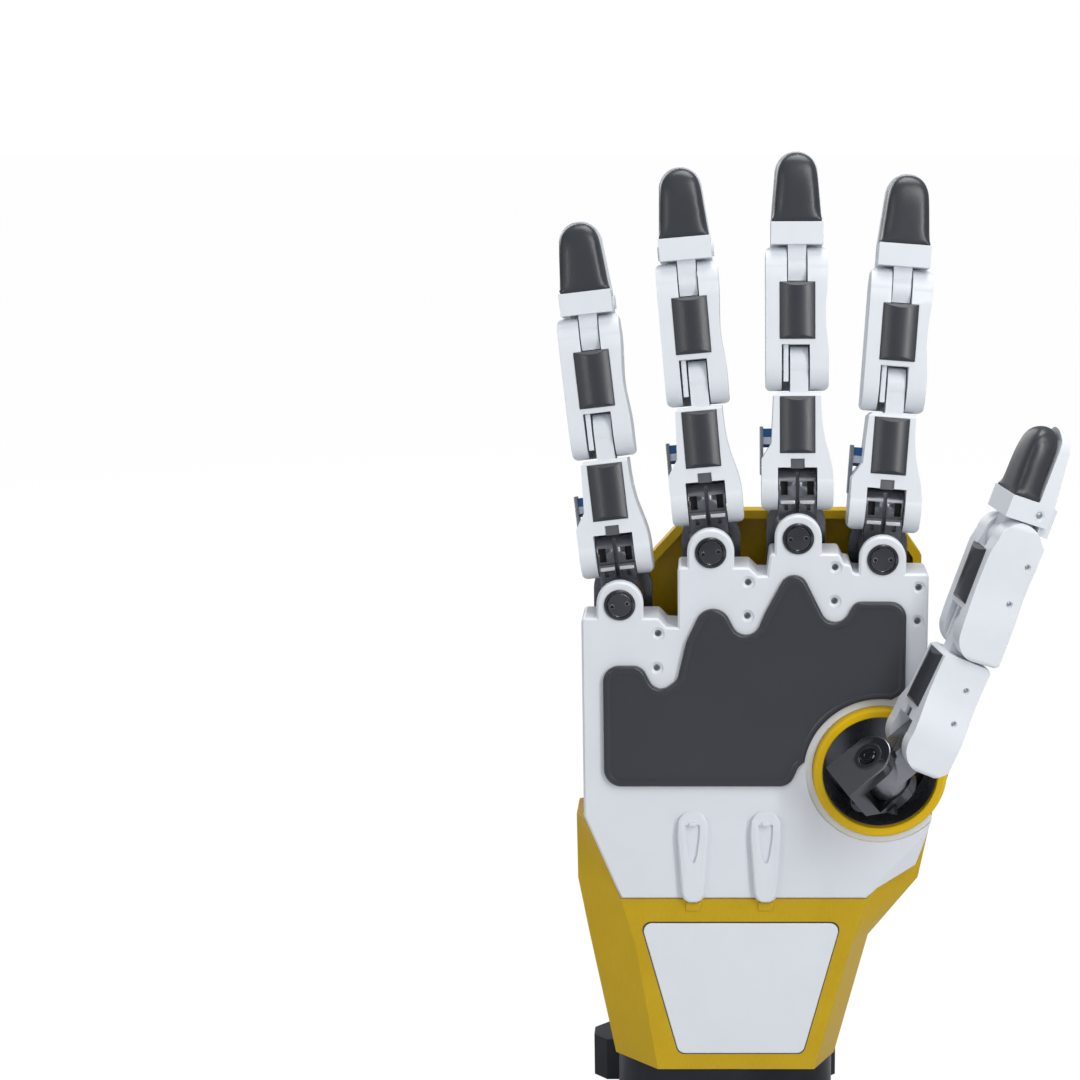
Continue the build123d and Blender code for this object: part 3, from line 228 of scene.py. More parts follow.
# Machined aluminium with dark anodising: grey metal, its sharp edges painted lighter
GIMBAL = Finish("dark_anodised_aluminium", "#76787E", "#62646A", 0.28, metallic=0.9, grain_mm=0.25,
                grain_depth=0.05, edge_tint="#A7A9AF", slot=Slot.GIMBAL)
# Black anodising on machined parts
BLACK = Finish("black_anodised_aluminium", "#303135", "#232427", 0.30, metallic=0.75, grain_mm=0.25,
               grain_depth=0.05, edge_tint="#7B7D82", slot=Slot.BLACK)
# Plated bars that catch the light on the knuckles
PLATED = Finish("satin_nickel_plate", "#E2E4E8", "#D2D5DA", 0.24, metallic=0.35, grain_mm=0.2, grain_depth=0.02,
                slot=Slot.STEEL)
# Painted shade: near-black for the bottoms of deep recesses that no light reaches
RECESS_SHADE = Finish("painted_recess_shade", "#0E0E10", "#09090A", 0.60, slot=Slot.BLACK)
# Polished button of the thumb's pivot
GLOSS = Finish("polished_black_steel", "#3A3B3F", "#2E2F33", 0.12, metallic=1.0, grain_mm=0.2, grain_depth=0.02,
               roughness_swing=0.03, slot=Slot.BLACK)
# Faces of the caps and screws, turned before they were anodised
CAP_FACE = Finish("turned_dark_face", "#54565B", "#4A4C51", 0.30, metallic=0.8, grain_mm=0.2, grain_depth=0.04,
                  slot=Slot.BLACK)
# Plated screws deep in the white wells
SCREW_GREY = Finish("pale_plated_screws", "#A9ACB2", "#9A9DA3", 0.34, metallic=0.6, grain_mm=0.2, grain_depth=0.03,
                    slot=Slot.STEEL)
# Painted highlight: bright grey metal on the chamfers of the caps, the key holes and the saddle, for the light they
# catch
HIGHLIGHT_EDGE = Finish("painted_highlight_edge", "#9C9EA4", "#85878D", 0.22, metallic=1.0, grain_mm=0.2,
                     grain_depth=0.03, slot=Slot.BLACK)
# Cast bowl of the thumb's socket: mid grey metal, smoother than the machined parts
BOWL = Finish("cast_grey_bowl", "#7C7E84", "#66686E", 0.28, metallic=0.85, grain_mm=0.4, grain_depth=0.05,
              edge_tint="#A2A4AA", slot=Slot.BLACK)
# Powder-coated shell: warm yellow with a faint orange-peel skin
YELLOW = Finish("yellow_powder_coat", "#E8BE00", "#E4BA00", 0.42, ior=1.4, grain_mm=0.7, grain_depth=0.06,
                slot=Slot.YELLOW)
# Brushed aluminium with yellow anodising: fine upright scratches
SHEATH = Finish("brushed_yellow_anodising", "#DDB82C", "#CFAA24", 0.34, metallic=0.45, ior=1.3, grain_mm=0.22,
                grain_depth=0.07, stretch=40.0, slot=Slot.SHEATH)
# Hard-anodised collar: blue-black satin
COLLAR = Finish("slate_anodised_aluminium", "#34373E", "#2B2E34", 0.36, metallic=0.75, grain_mm=0.3,
                grain_depth=0.05, slot=Slot.COLLAR)
# Ground steel pins
STEEL = Finish("ground_steel", "#C3C5CA", "#ADAFB5", 0.20, metallic=1.0, grain_mm=0.2, grain_depth=0.03,
               slot=Slot.STEEL)
# Nylon plugs and the bracket that carries them
PLUG_BLUE = Finish("blue_nylon", "#245F9C", "#1E5289", 0.34, slot=Slot.CONNECTOR)
PLUG_NAVY = Finish("navy_nylon", "#1D2C5A", "#18254D", 0.34, slot=Slot.CONNECTOR)
PLUG_WHITE = Finish("white_nylon", "#D3DAE6", "#C6CEDC", 0.34, slot=Slot.CONNECTOR)
BRACKET = Finish("grey_bracket_metal", "#9DA0A8", "#8A8D95", 0.30, metallic=0.8, grain_mm=0.25,
                 slot=Slot.CONNECTOR)
# Turned steel cans of the motors
MOTOR = Finish("turned_motor_steel", "#8D9096", "#7D8086", 0.30, metallic=0.9, grain_mm=0.25, slot=Slot.MOTOR)
# Solder mask over copper
BOARD = Finish("green_solder_mask", "#1C5A38", "#184E31", 0.40, slot=Slot.BOARD)


@dataclass(frozen=True)
class Rounding:
    """How the edges of a moulded or machined piece are broken."""

    radius_mm: float = 0.4
    segments: int = 3
    sharper_than_deg: float = 26.0


MOULDED = Rounding(0.45, 3)
LOBED = Rounding(0.9, 4)
PADDED = Rounding(0.35, 3)
MACHINED = Rounding(0.18, 2)
CAPPED = Rounding(1.3, 5)


@dataclass(frozen=True)
class Link:
    """A link's own axes: x along the joint, z towards the next joint, y towards the back of the finger."""

    origin: Vector
    x: Vector
    y: Vector
    z: Vector
    body: str

    @classmethod
    def between(cls, finger: str, joint: str, far_joint: str) -> "Link":
        """Find the axes of the link that turns on a joint.

        Args:
            finger: the finger's name.
            joint: the joint that the link turns on.
            far_joint: another joint on the same straight link.

        Returns:
            The link's axes, at the first joint.
        """
        near, far = JOINTS[f"{finger}_{joint}"], JOINTS[f"{finger}_{far_joint}"]
        along = (Vector(far["pos_m"]) - Vector(near["pos_m"])).normalized()
        side = Vector(near["axis"]) * (-1.0 if finger == "thumb" else 1.0)
        side = (side - along * side.dot(along)).normalized()
        return cls(Vector(near["pos_m"]), side, along.cross(side), along, near["child"])

    def at(self, x: float, y: float, z: float) -> Vector:
        """Return the point in metres for a place in millimetres on the link."""
        return self.origin + (self.x * x + self.y * y + self.z * z) * MM

    def place(self, x: float, y: float, z: float) -> Matrix:
        """Return the turn of the link's axes, shifted to a place in millimetres on the link."""
        turn = Matrix((self.x, self.y, self.z)).transposed().to_4x4()
        return Matrix.Translation(self.at(x, y, z)) @ turn


def show(made: bmesh.types.BMesh, name: str, body: str, finishes: Iterable[Finish],
         smooth_deg: float = 38.0) -> bpy.types.Object:
    """Turn a bmesh into a piece that rides on a body.

    Args:
        made: the geometry, in metres in the hand's frame.
        name: the piece's name.
        body: the body it moves with.
        finishes: its finishes, in the order of the faces' material numbers.
        smooth_deg: edges flatter than this are shaded smooth.

    Returns:
        The new object.
    """
    finishes = tuple(finishes)
    mesh = bpy.data.meshes.new(name)
    made.to_mesh(mesh)
    made.free()
    mesh.shade_smooth()
    mesh.set_sharp_from_angle(angle=radians(smooth_deg))
    piece = bpy.data.objects.new(name, mesh)
    bpy.context.scene.collection.objects.link(piece)
    weighted = piece.modifiers.new("weighted", "WEIGHTED_NORMAL")
    weighted.keep_sharp = True
    for finish in finishes:
        mesh.materials.append(finish.material())
    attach(piece, body)
    return piece


def merged_copy(node: str) -> bmesh.types.BMesh:
    """Copy a node's loose triangles and merge them into clean faces.

    Args:
        node: the node's name.

    Returns:
        The merged geometry.
    """
    made = bmesh.new()
    made.from_mesh(frame["nodes"][node].data)
    bmesh.ops.remove_doubles(made, verts=made.verts, dist=0.002 * MM)
    bmesh.ops.dissolve_limit(made, angle_limit=radians(0.5), verts=made.verts, edges=made.edges)
    return made


def break_edges(made: bmesh.types.BMesh, rounding: Rounding, material: int = -1) -> None:
    """Round the sharp edges of a piece.

    Args:
        made: the geometry, changed in place.
        rounding: the size of the rounds.
        material: the material number of the new faces, or -1 to keep the neighbours'.
    """
    sharp = [e for e in made.edges
             if len(e.link_faces) == 2 and e.calc_face_angle(0.0) > radians(rounding.sharper_than_deg)]
    bmesh.ops.bevel(made, geom=sharp, offset=rounding.radius_mm * MM, offset_type="OFFSET", affect="EDGES",
                    segments=rounding.segments, profile=0.5, material=material, clamp_overlap=True)


def islands(made: bmesh.types.BMesh) -> list[list[bmesh.types.BMFace]]:
    """Return the faces of each separate body in a mesh.

    Args:
        made: the geometry.

    Returns:
        A list of faces for each body.
    """
    left = set(made.faces)
    found = []
    while left:
        edge_of_search = [left.pop()]
        island = []
        while edge_of_search:
            face = edge_of_search.pop()
            island.append(face)
            for edge in face.edges:
                for other in edge.link_faces:
                    if other in left:
                        left.discard(other)
                        edge_of_search.append(other)
        found.append(island)
    return found


def corners_of(faces: Iterable[bmesh.types.BMFace]) -> tuple[Vector, Vector]:
    """Return the low and high corners of the box round some faces."""
    points = [v.co for face in faces for v in face.verts]
    return (Vector([min(p[i] for p in points) for i in range(3)]),
            Vector([max(p[i] for p in points) for i in range(3)]))


def turned(made: bmesh.types.BMesh, profile: Iterable[tuple[float, float]], origin: Vector, axis: Vector,
           steps: int = 24, material: int = 0) -> None:
    """Spin a profile into a turned part.

    Args:
        made: the geometry that takes the part.
        profile: radius and height of each corner in millimetres, closed on the axis or on itself.
        origin: the point of height 0, in metres.
        axis: the direction of height.
        steps: how many steps make the full turn.
        material: the material number of its faces.
    """
    side = axis.orthogonal().normalized()
    corners = [made.verts.new(origin + (side * radius + axis.normalized() * height) * MM)
               for radius, height in profile]
    edges = [made.edges.new(pair) for pair in zip(corners, corners[1:])]
    old = set(made.faces)
    bmesh.ops.spin(made, geom=corners + edges, cent=origin, axis=axis, angle=2 * pi, steps=steps, use_merge=True)
    fresh = [f for f in made.faces if f not in old]
    bmesh.ops.remove_doubles(made, verts=list({v for f in fresh for v in f.verts}), dist=0.001 * MM)
    fresh = [f for f in made.faces if f not in old]
    bmesh.ops.recalc_face_normals(made, faces=fresh)
    for face in fresh:
        face.material_index = material


def prism(made: bmesh.types.BMesh, outline: Iterable[tuple[float, float]], front: float, back: float) -> None:
    """Extrude an outline of the front view backwards.

    Args:
        made: the geometry that takes the prism.
        outline: x and z of each corner in millimetres.
        front: y of the front face in millimetres.
        back: y of the back face in millimetres.
    """
    old = set(made.faces)
    corners = [made.verts.new(Vector((x, front, z)) * MM) for x, z in outline]
    face = made.faces.new(corners)
    moved = bmesh.ops.extrude_face_region(made, geom=[face], use_keep_orig=True)
    fresh = [item for item in moved["geom"] if isinstance(item, bmesh.types.BMVert)]
    bmesh.ops.translate(made, verts=fresh, vec=Vector((0.0, back - front, 0.0)) * MM)
    bmesh.ops.recalc_face_normals(made, faces=[f for f in made.faces if f not in old])


def block(made: bmesh.types.BMesh, size: tuple, place: Matrix, bevel_mm: float = 0.1, material: int = 0) -> None:
    """Add a box with broken edges.

    Args:
        made: the geometry that takes the box.
        size: its three sides in millimetres.
        place: its place and turn, in metres.
        bevel_mm: the size of its broken edges.
        material: the material number of its faces.
    """
    old = set(made.faces)
    sized = place @ Matrix.Diagonal((*(Vector(size) * MM), 1.0))
    bmesh.ops.create_cube(made, size=1.0, matrix=sized)
    fresh = [f for f in made.faces if f not in old]
    bmesh.ops.bevel(made, geom=list({e for f in fresh for e in f.edges}), offset=bevel_mm * MM,
                    offset_type="OFFSET", affect="EDGES", segments=2, profile=0.5, material=-1)
    for face in made.faces:
        if face not in old:
            face.material_index = material


def refined(made: bmesh.types.BMesh, voxel_mm: float) -> bmesh.types.BMesh:
    """Rebuild a closed mesh from small even faces.

    Args:
        made: the geometry, freed here.
        voxel_mm: the size of the faces.

    Returns:
        The new geometry.
    """
    mesh = bpy.data.meshes.new("refined")
    made.to_mesh(mesh)
    made.free()
    holder = bpy.data.objects.new("refined", mesh)
    bpy.context.scene.collection.objects.link(holder)
    remesh = holder.modifiers.new("even", "REMESH")
    remesh.mode = "VOXEL"
    remesh.voxel_size = voxel_mm * MM
    bpy.context.view_layer.update()
    ready = holder.evaluated_get(bpy.context.evaluated_depsgraph_get())
    result = bmesh.new()
    result.from_mesh(ready.to_mesh())
    ready.to_mesh_clear()
    bpy.data.objects.remove(holder)
    bpy.data.meshes.remove(mesh)
    return result


def carve(made: bmesh.types.BMesh, cutters: bmesh.types.BMesh) -> bmesh.types.BMesh:
    """Cut one closed mesh with others.

    Args:
        made: the geometry to cut, freed here.
        cutters: the geometry to take away, freed here.

    Returns:
        The cut geometry.
    """
    pair = []
    for name, source in (("carved", made), ("cutter", cutters)):
        mesh = bpy.data.meshes.new(name)
        source.to_mesh(mesh)
        source.free()
        holder = bpy.data.objects.new(name, mesh)
        bpy.context.scene.collection.objects.link(holder)
        pair.append(holder)
    work, tool = pair
    cut = work.modifiers.new("cut", "BOOLEAN")
    cut.object = tool
    cut.operation = "DIFFERENCE"
    cut.solver = "EXACT"
    bpy.context.view_layer.update()
    ready = work.evaluated_get(bpy.context.evaluated_depsgraph_get())
    result = bmesh.new()
    result.from_mesh(ready.to_mesh())
    ready.to_mesh_clear()
    for holder in pair:
        mesh = holder.data
        bpy.data.objects.remove(holder)
        bpy.data.meshes.remove(mesh)
    return result


def soften(node: str, finish: Finish, rounding: Rounding,
           carving: Callable[[bmesh.types.BMesh], bmesh.types.BMesh] | None = None) -> bpy.types.Object:
    """Replace a node by the same shape with rounded edges.

    Args:
        node: the node's name.
        finish: the finish of the new piece.
        rounding: the size of the rounds.
        carving: a function that takes the rounded geometry and gives it back with its fine detail.

    Returns:
        The new piece, which rides where the node rode.
    """
    made = merged_copy(node)
    break_edges(made, rounding)
    if carving:
        made = carving(made)
    piece = show(made, f"{node}_rounded", frame["nodes"][node]["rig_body"], (finish,))
    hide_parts(node)
    return piece


@dataclass(frozen=True)
class Well:
    """A countersunk well in the side of a link, with its screw."""

    y: float
    z: float
    mouth: float = 0.95
    screw: float = 0.55
    depth: float = 0.9


@dataclass
class Finger:
    """One finger or the thumb: links, pads, pins, screws and knuckle."""

    name: str
    has_connector: bool = True
    proximal_wells: tuple = (Well(2.95, 18.2), Well(3.06, 8.7))
    middle_wells: tuple = (Well(4.7, 22.4), Well(3.75, 11.2))
    distal_wells: tuple = (Well(3.0, 9.7, 1.7, 0.75, 0.8),)
    slot_size: tuple = (1.9, 3.0, 3.9)
    slot_x: float = 3.7
    slot_y: float = -4.2
    slot_z: float = 12.6
    bar_size: tuple = (4.1, 0.85, 1.1)
    bar_x: float = 2.75
    bar_y: float = -5.05
    bar_z: float = 8.7
    tip_smoothing: int = 60
    bracket_span: tuple = (2.5, 16.4)
    plug_spans: tuple = ((10.4, 11.3), (11.3, 13.4), (13.4, 15.8))

    def link(self, part: str) -> Link:
        """Return the axes of one of the finger's links."""
        if part == "base":
            return Link.between(self.name, "knuckle_flex", "knuckle_flex")
        if part == "proximal":
            return Link.between(self.name, "knuckle_flex", "middle_flex")
        near = Link.between(self.name, "middle_flex", "tip_flex")
        if part == "middle":
            return near
        tip = JOINTS[f"{self.name}_tip_flex"]
        return Link(Vector(tip["pos_m"]), near.x, near.y, near.z, tip["child"])

    def drill(self, made: bmesh.types.BMesh, part: str, wells: tuple[Well, ...]) -> bmesh.types.BMesh:
        """Cut the wells on both sides of a link, and put their screws in.

        Args:
            made: the link's casing.
            part: the link's name.
            wells: the wells of one side, repeated on the other.

        Returns:
            The casing with the wells cut.
        """
        link = self.link(part)
        skin = BVHTree.FromBMesh(made)
        cutters, screws = bmesh.new(), bmesh.new()
        for well in wells:
            for side in (-1, 1):
                start = link.at(20.0 * side, well.y, well.z)
                hit = skin.ray_cast(start, -side * link.x)[0]
                if hit is None:
                    continue
                outward = side * link.x
                turned(cutters, ((0.0, 0.6), (well.mouth + 0.35, 0.6), (well.mouth + 0.02, 0.0),
                                 (well.screw + 0.12, -well.depth * 0.6), (well.screw + 0.12, -well.depth - 0.7),
                                 (0.0, -well.depth - 0.7)), hit, outward)
                turned(screws, ((0.0, -well.depth + 0.16), (well.screw * 0.45, -well.depth + 0.16),
                                (well.screw * 0.55, -well.depth + 0.3), (well.screw, -well.depth + 0.22),
                                (well.screw + 0.1, -well.depth), (well.screw + 0.1, -well.depth - 0.65),
                                (0.0, -well.depth - 0.65)), hit, outward, 16)
        show(screws, f"{self.name}_{part}_screws", link.body, (SCREW_GREY,))
        return carve(made, cutters)

    def knuckle(self) -> None:
        """Sink the two dark slots beside the knuckle's pillars, lay a near-black plate of painted shade at the
        bottom of each, and lay two bright bars on its ledge.
        """
        pivot, flex = JOINTS[f"{self.name}_spread"], JOINTS[f"{self.name}_knuckle_flex"]
        up = (Vector(flex["pos_m"]) - Vector(pivot["pos_m"])).normalized()
        side = Vector(flex["axis"])
        axes = Link(Vector(pivot["pos_m"]), side, up.cross(side), up, flex["parent"])
        slots, bars, shade_plates = bmesh.new(), bmesh.new(), bmesh.new()
        width, depth, height = self.slot_size
        for sign in (-1, 1):
            block(slots, (width, depth, height), axes.place(sign * self.slot_x, self.slot_y, self.slot_z), 0.15)
            # A near-black plate at each slot's bottom paints its shade
            block(shade_plates, (width + 0.2, 0.3, height + 0.2),
                  axes.place(sign * self.slot_x, self.slot_y + depth / 2, self.slot_z), 0.05)
            block(bars, self.bar_size, axes.place(sign * self.bar_x, self.bar_y, self.bar_z), 0.3)
        soften(f"{self.name}_knuckle", GIMBAL, MACHINED, lambda made: carve(made, slots))
        show(bars, f"{self.name}_knuckle_bars", axes.body, (PLATED,))
        show(shade_plates, f"{self.name}_slot_shade_plates", axes.body, (RECESS_SHADE,))

    def connector(self) -> None:
        """Make the bracket strip and the three coloured parts of the plug that it holds."""
        link = self.link("proximal")
        made = bmesh.new()
        low, high = self.bracket_span
        block(made, (1.0, 4.5, high - low), link.place(-10.0, 4.25, (low + high) / 2), 0.2)
        for number, (bottom, top) in enumerate(self.plug_spans, start=1):
            block(made, (2.6, 3.5, top - bottom), link.place(-8.3, 4.25, (bottom + top) / 2), 0.12, number)
        piece = show(made, f"{self.name}_connector_parts", link.body, (BRACKET, PLUG_NAVY, PLUG_WHITE, PLUG_BLUE))
        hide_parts(f"{self.name}_connector")

    def tip_pad(self) -> None:
        """Mould the tip pad: the solid's shape in fine even faces, rounded everywhere but at its foot."""
        node = f"{self.name}_tip_pad"
        made = refined(merged_copy(node), 0.6)
        tip = self.link("distal")
        foot = min((v.co - tip.origin).dot(tip.z) for v in made.verts) + 0.9 * MM
        free = [v for v in made.verts if (v.co - tip.origin).dot(tip.z) > foot]
        for _ in range(self.tip_smoothing):
            bmesh.ops.smooth_vert(made, verts=free, factor=0.5, use_axis_x=True, use_axis_y=True, use_axis_z=True)
        piece = show(made, f"{node}_rounded", tip.body, (RUBBER,), 60.0)
        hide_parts(node)

    def notch(self) -> None:
        """Lay a grey plate in the notch above the link's opening, as painted shade for the recess."""
        link = self.link("proximal")
        made = bmesh.new()
        block(made, (3.8, 0.3, 2.7), link.place(0.0, -6.2, 5.85), 0.08)
        show(made, f"{self.name}_notch_shade_plate", link.body, (GIMBAL,))

    def build(self) -> None:
        """Dress every node of the finger."""
        name = self.name
        soften(f"{name}_proximal_case", WHITE, LOBED,
               lambda made: self.drill(made, "proximal", self.proximal_wells))
        soften(f"{name}_middle_case", WHITE, LOBED,
               lambda made: self.drill(made, "middle", self.middle_wells))
        soften(f"{name}_distal_case", WHITE, CAPPED,
               lambda made: self.drill(made, "distal", self.distal_wells))
        soften(f"{name}_proximal_pad", RUBBER, PADDED)
        soften(f"{name}_middle_pad", RUBBER, PADDED)
        self.tip_pad()
        soften(f"{name}_joint_pins", WHITE, MACHINED)
        self.notch()
        if self.has_connector:
            self.knuckle()
            self.connector()
        else:
            soften(f"{name}_knuckle", GIMBAL, MACHINED)
        log.info("finger %s", name)


@dataclass
class Palm:
    """Palm shells, pad, frame, wrist and the thumb's socket."""

    plan: tuple = (
        ("palm_frame", GIMBAL, MACHINED),
        ("rear_cover", YELLOW, MOULDED), ("heel_sheath", SHEATH, MACHINED), ("wrist_panel", WHITE, PADDED),
        ("wrist_collar", COLLAR, MACHINED), ("wrist_flange", COLLAR, MACHINED), ("thumb_ring", YELLOW, MOULDED),
        ("thumb_socket", BOWL, MACHINED), ("pivot_pins", STEEL, MACHINED),
        ("finger_motors", MOTOR, MACHINED), ("control_board", BOARD, MACHINED),
    )
    seat_radius: float = 1.88
    screw_radius: float = 0.95
    bead_width: float = 0.8
    bead_drop: float = 0.6
    seam_width: float = 0.35
    cap_front: float = 14.8
    ear_radius: float = 6.8
    ear_bevel: float = 1.0
    foot_cut: tuple = ((25.0, -60.0, 85.0), (60.0, -18.6, 104.4))
    fairing_x: tuple = (-9.2, 11.7)
    fairing_outline: tuple = ((-2.2, 98.6), (2.2, 98.6), (4.1, 96.4), (4.55, 91.5), (3.3, 74.2), (2.6, 72.4),
                              (1.2, 71.5), (-1.2, 71.5), (-2.6, 72.4), (-3.3, 74.2), (-4.55, 91.5), (-4.1, 96.4))
    hollow_outline: tuple = ((-2.1, 94.8), (2.1, 94.8), (2.0, 91.5), (1.3, 86.0), (0.9, 84.4), (0.35, 83.4),
                             (-0.35, 83.4), (-0.9, 84.4), (-1.3, 86.0), (-2.0, 91.5))

    def pad(self) -> None:
        """Make the palm pad, with a raised bead round its face."""
        made = merged_copy("palm_pad")
        front = min(v.co.y for v in made.verts) + 0.02 * MM
        rim = [e for e in made.edges if all(v.co.y < front for v in e.verts)
               and sum(f.normal.y < -0.99 for f in e.link_faces) == 1]
        bmesh.ops.bevel(made, geom=rim, offset=0.9 * MM, offset_type="OFFSET", affect="EDGES", segments=4,
                        profile=0.5, material=-1, clamp_overlap=True)
        face = [f for f in made.faces if f.normal.y < -0.999 and all(v.co.y < front for v in f.verts)]
        bmesh.ops.inset_region(made, faces=face, thickness=self.bead_width * MM, depth=0.0, use_even_offset=True)
        bmesh.ops.inset_region(made, faces=face, thickness=0.5 * MM, depth=-self.bead_drop * MM,
                               use_even_offset=True)
        piece = show(made, "palm_pad_rounded", frame["nodes"]["palm_pad"]["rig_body"], (RUBBER,))
        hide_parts("palm_pad")

    def screws(self) -> None:
        """Put a pale countersunk seat and a small dark screw at each of the cover's fixings."""
        source = merged_copy("cover_screws")
        front = Vector((0.0, -1.0, 0.0))
        seats, heads = bmesh.new(), bmesh.new()
        for island in islands(source):
            low, high = corners_of(island)
            top = Vector(((low.x + high.x) / 2, low.y, (low.z + high.z) / 2))
            seat, hole = self.seat_radius, self.screw_radius
            turned(seats, ((seat, 0.0), (seat, -1.1), (hole, -1.1), (hole, -0.55), (seat - 0.12, 0.0), (seat, 0.0)),
                   top, front, 28)
            turned(heads, ((0.0, -0.65), (hole * 0.4, -0.65), (hole * 0.5, -0.35), (hole * 0.85, -0.35),
                           (hole, -0.5), (hole, -1.0), (0.9, -1.2), (0.9, -6.8), (0.0, -6.9)), top, front, 20)
        source.free()
        body = frame["nodes"]["cover_screws"]["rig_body"]
        show(seats, "cover_screw_seats", body, (WHITE,))
        piece = show(heads, "cover_screw_heads", body, (GIMBAL,))
        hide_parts("cover_screws")

    def panel_seam(self) -> None:
        """Lay a thin dark plate under the wrist panel, so that a seam shows round it."""
        made = merged_copy("wrist_panel")
        low, high = corners_of(made.faces)
        middle = (low + high) / 2
        size = high - low
        grown = Vector((1 + 2 * self.seam_width * MM / size.x, 1.0, 1 + 2 * self.seam_width * MM / size.z))
        inward = Vector((0.0, 0.00035, 0.0))
        bmesh.ops.transform(made, verts=made.verts, matrix=Matrix.Translation(middle + inward)
                            @ Matrix.Diagonal((*grown, 1.0)) @ Matrix.Translation(-middle))
        show(made, "wrist_panel_seam", frame["nodes"]["wrist_panel"]["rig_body"], (BLACK,))

    def caps(self) -> None:
        """Turn the pivot caps: a dark rim round a lighter face with two key holes, painted highlight rings at the
        face's edge and the holes' mouths, and the thumb's button.
        """
        faces, holes = bmesh.new(), bmesh.new()
        rims, edges = bmesh.new(), bmesh.new()
        front = Vector((0.0, -1.0, 0.0))
        for name in ("little", "ring", "middle", "index"):
            pivot, flex = JOINTS[f"{name}_spread"], JOINTS[f"{name}_knuckle_flex"]
            side = (Vector(flex["axis"]) + Vector((0.0, 0.0, 0.09))).normalized()
            face = Vector(pivot["pos_m"]) + front * self.cap_front * MM
            turned(rims, ((3.55, -1.5), (4.4, -1.5), (4.4, -0.3), (4.1, 0.0), (3.75, 0.0), (3.55, -0.2),
                          (3.55, -1.5)), face, front, 40)
            turned(faces, ((0.0, -1.5), (3.3, -1.5), (3.3, -0.25), (0.0, -0.25)), face, front, 40)
            # Painted highlight: a bright chamfer ring between the rim and the face
            turned(edges, ((3.3, -1.5), (3.6, -1.5), (3.6, -0.4), (3.3, -0.15), (3.2, -0.25), (3.3, -1.5)),
                   face, front, 40)
            for sign in (-1, 1):
                key = face + side * sign * 2.15 * MM
                turned(holes, ((0.0, 0.3), (0.6, 0.3), (0.6, -1.2), (0.0, -1.2)), key, front, 16)
                # Painted highlight: a bright ring at the mouth of each key hole
                turned(edges, ((0.58, -0.25), (0.72, -0.25), (0.66, -0.17), (0.52, -0.2), (0.52, -0.6),
                               (0.58, -0.6), (0.58, -0.25)), key, front, 16)
        swing = JOINTS["thumb_swing"]
        out = -Vector(swing["axis"])
        centre = Vector(swing["pos_m"])
        turned(rims, ((2.5, -0.8), (4.1, -0.8), (4.1, -0.62), (3.7, -0.5), (2.9, -0.5), (2.5, -0.75),
                      (2.5, -0.8)), centre, out, 40)
        button = bmesh.new()
        turned(button, ((0.0, -0.75), (2.4, -0.75), (2.4, -0.3), (2.05, 0.0), (1.7, -0.12), (1.0, -0.12),
                        (0.8, -0.3), (0.0, -0.3)), centre, out, 40)
        body = frame["nodes"]["pivot_caps"]["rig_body"]
        show(button, "thumb_pivot_button", body, (GLOSS,))
        show(edges, "pivot_cap_highlights", body, (HIGHLIGHT_EDGE,))
        show(carve(faces, holes), "pivot_cap_faces", body, (CAP_FACE,))
        piece = show(rims, "pivot_cap_rims", body, (BLACK,))
        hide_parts("pivot_caps")

    def saddle(self) -> None:
        """Shape the thumb's saddle: a bevel round the ear's end and small rounds on its edges, both painted as
        highlight, and a foot that clears the ring.
        """
        made = merged_copy("thumb_saddle")
        swing = JOINTS["thumb_swing"]
        out, centre = -Vector(swing["axis"]), Vector(swing["pos_m"])
        arc = []
        for edge in made.edges:
            offsets = [v.co - centre for v in edge.verts]
            heights = [o.dot(out) / MM for o in offsets]
            radii = [(o - out * o.dot(out)).length / MM for o in offsets]
            if all(abs(h + 0.8) < 0.05 for h in heights) and all(abs(r - self.ear_radius) < 0.1 for r in radii):
                arc.append(edge)
        # The ear's bevel and the small rounds take material 1, the painted highlight finish
        bmesh.ops.bevel(made, geom=arc, offset=self.ear_bevel * MM, offset_type="OFFSET", affect="EDGES",
                        segments=2, profile=0.5, material=1, clamp_overlap=True)
        break_edges(made, Rounding(0.22, 1, 40.0), material=1)
        cut = bmesh.new()
        low, high = Vector(self.foot_cut[0]), Vector(self.foot_cut[1])
        block(cut, tuple(high - low), Matrix.Translation((low + high) / 2 * MM), 0.2)
        made = carve(made, cut)
        piece = show(made, "thumb_saddle_rounded", frame["nodes"]["thumb_saddle"]["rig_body"], (BLACK, HIGHLIGHT_EDGE))
        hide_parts("thumb_saddle")

    def socket_parts(self) -> None:
        """Add the socket's liner."""
        body = frame["nodes"]["thumb_socket"]["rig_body"]
        ring = (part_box("thumb_ring")[0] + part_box("thumb_ring")[1]) / 2
        front = Vector((0.0, -1.0, 0.0))
        mouth = Vector((ring.x, -0.0135, ring.z))
        liner = bmesh.new()
        turned(liner, ((16.9, 0.0), (16.3, -0.4), (15.7, -9.0), (15.0, -14.0), (17.2, -14.0), (17.2, -1.0),
                       (16.9, 0.0)), mouth, front, 64)
        show(liner, "socket_liner", body, (BOWL,))

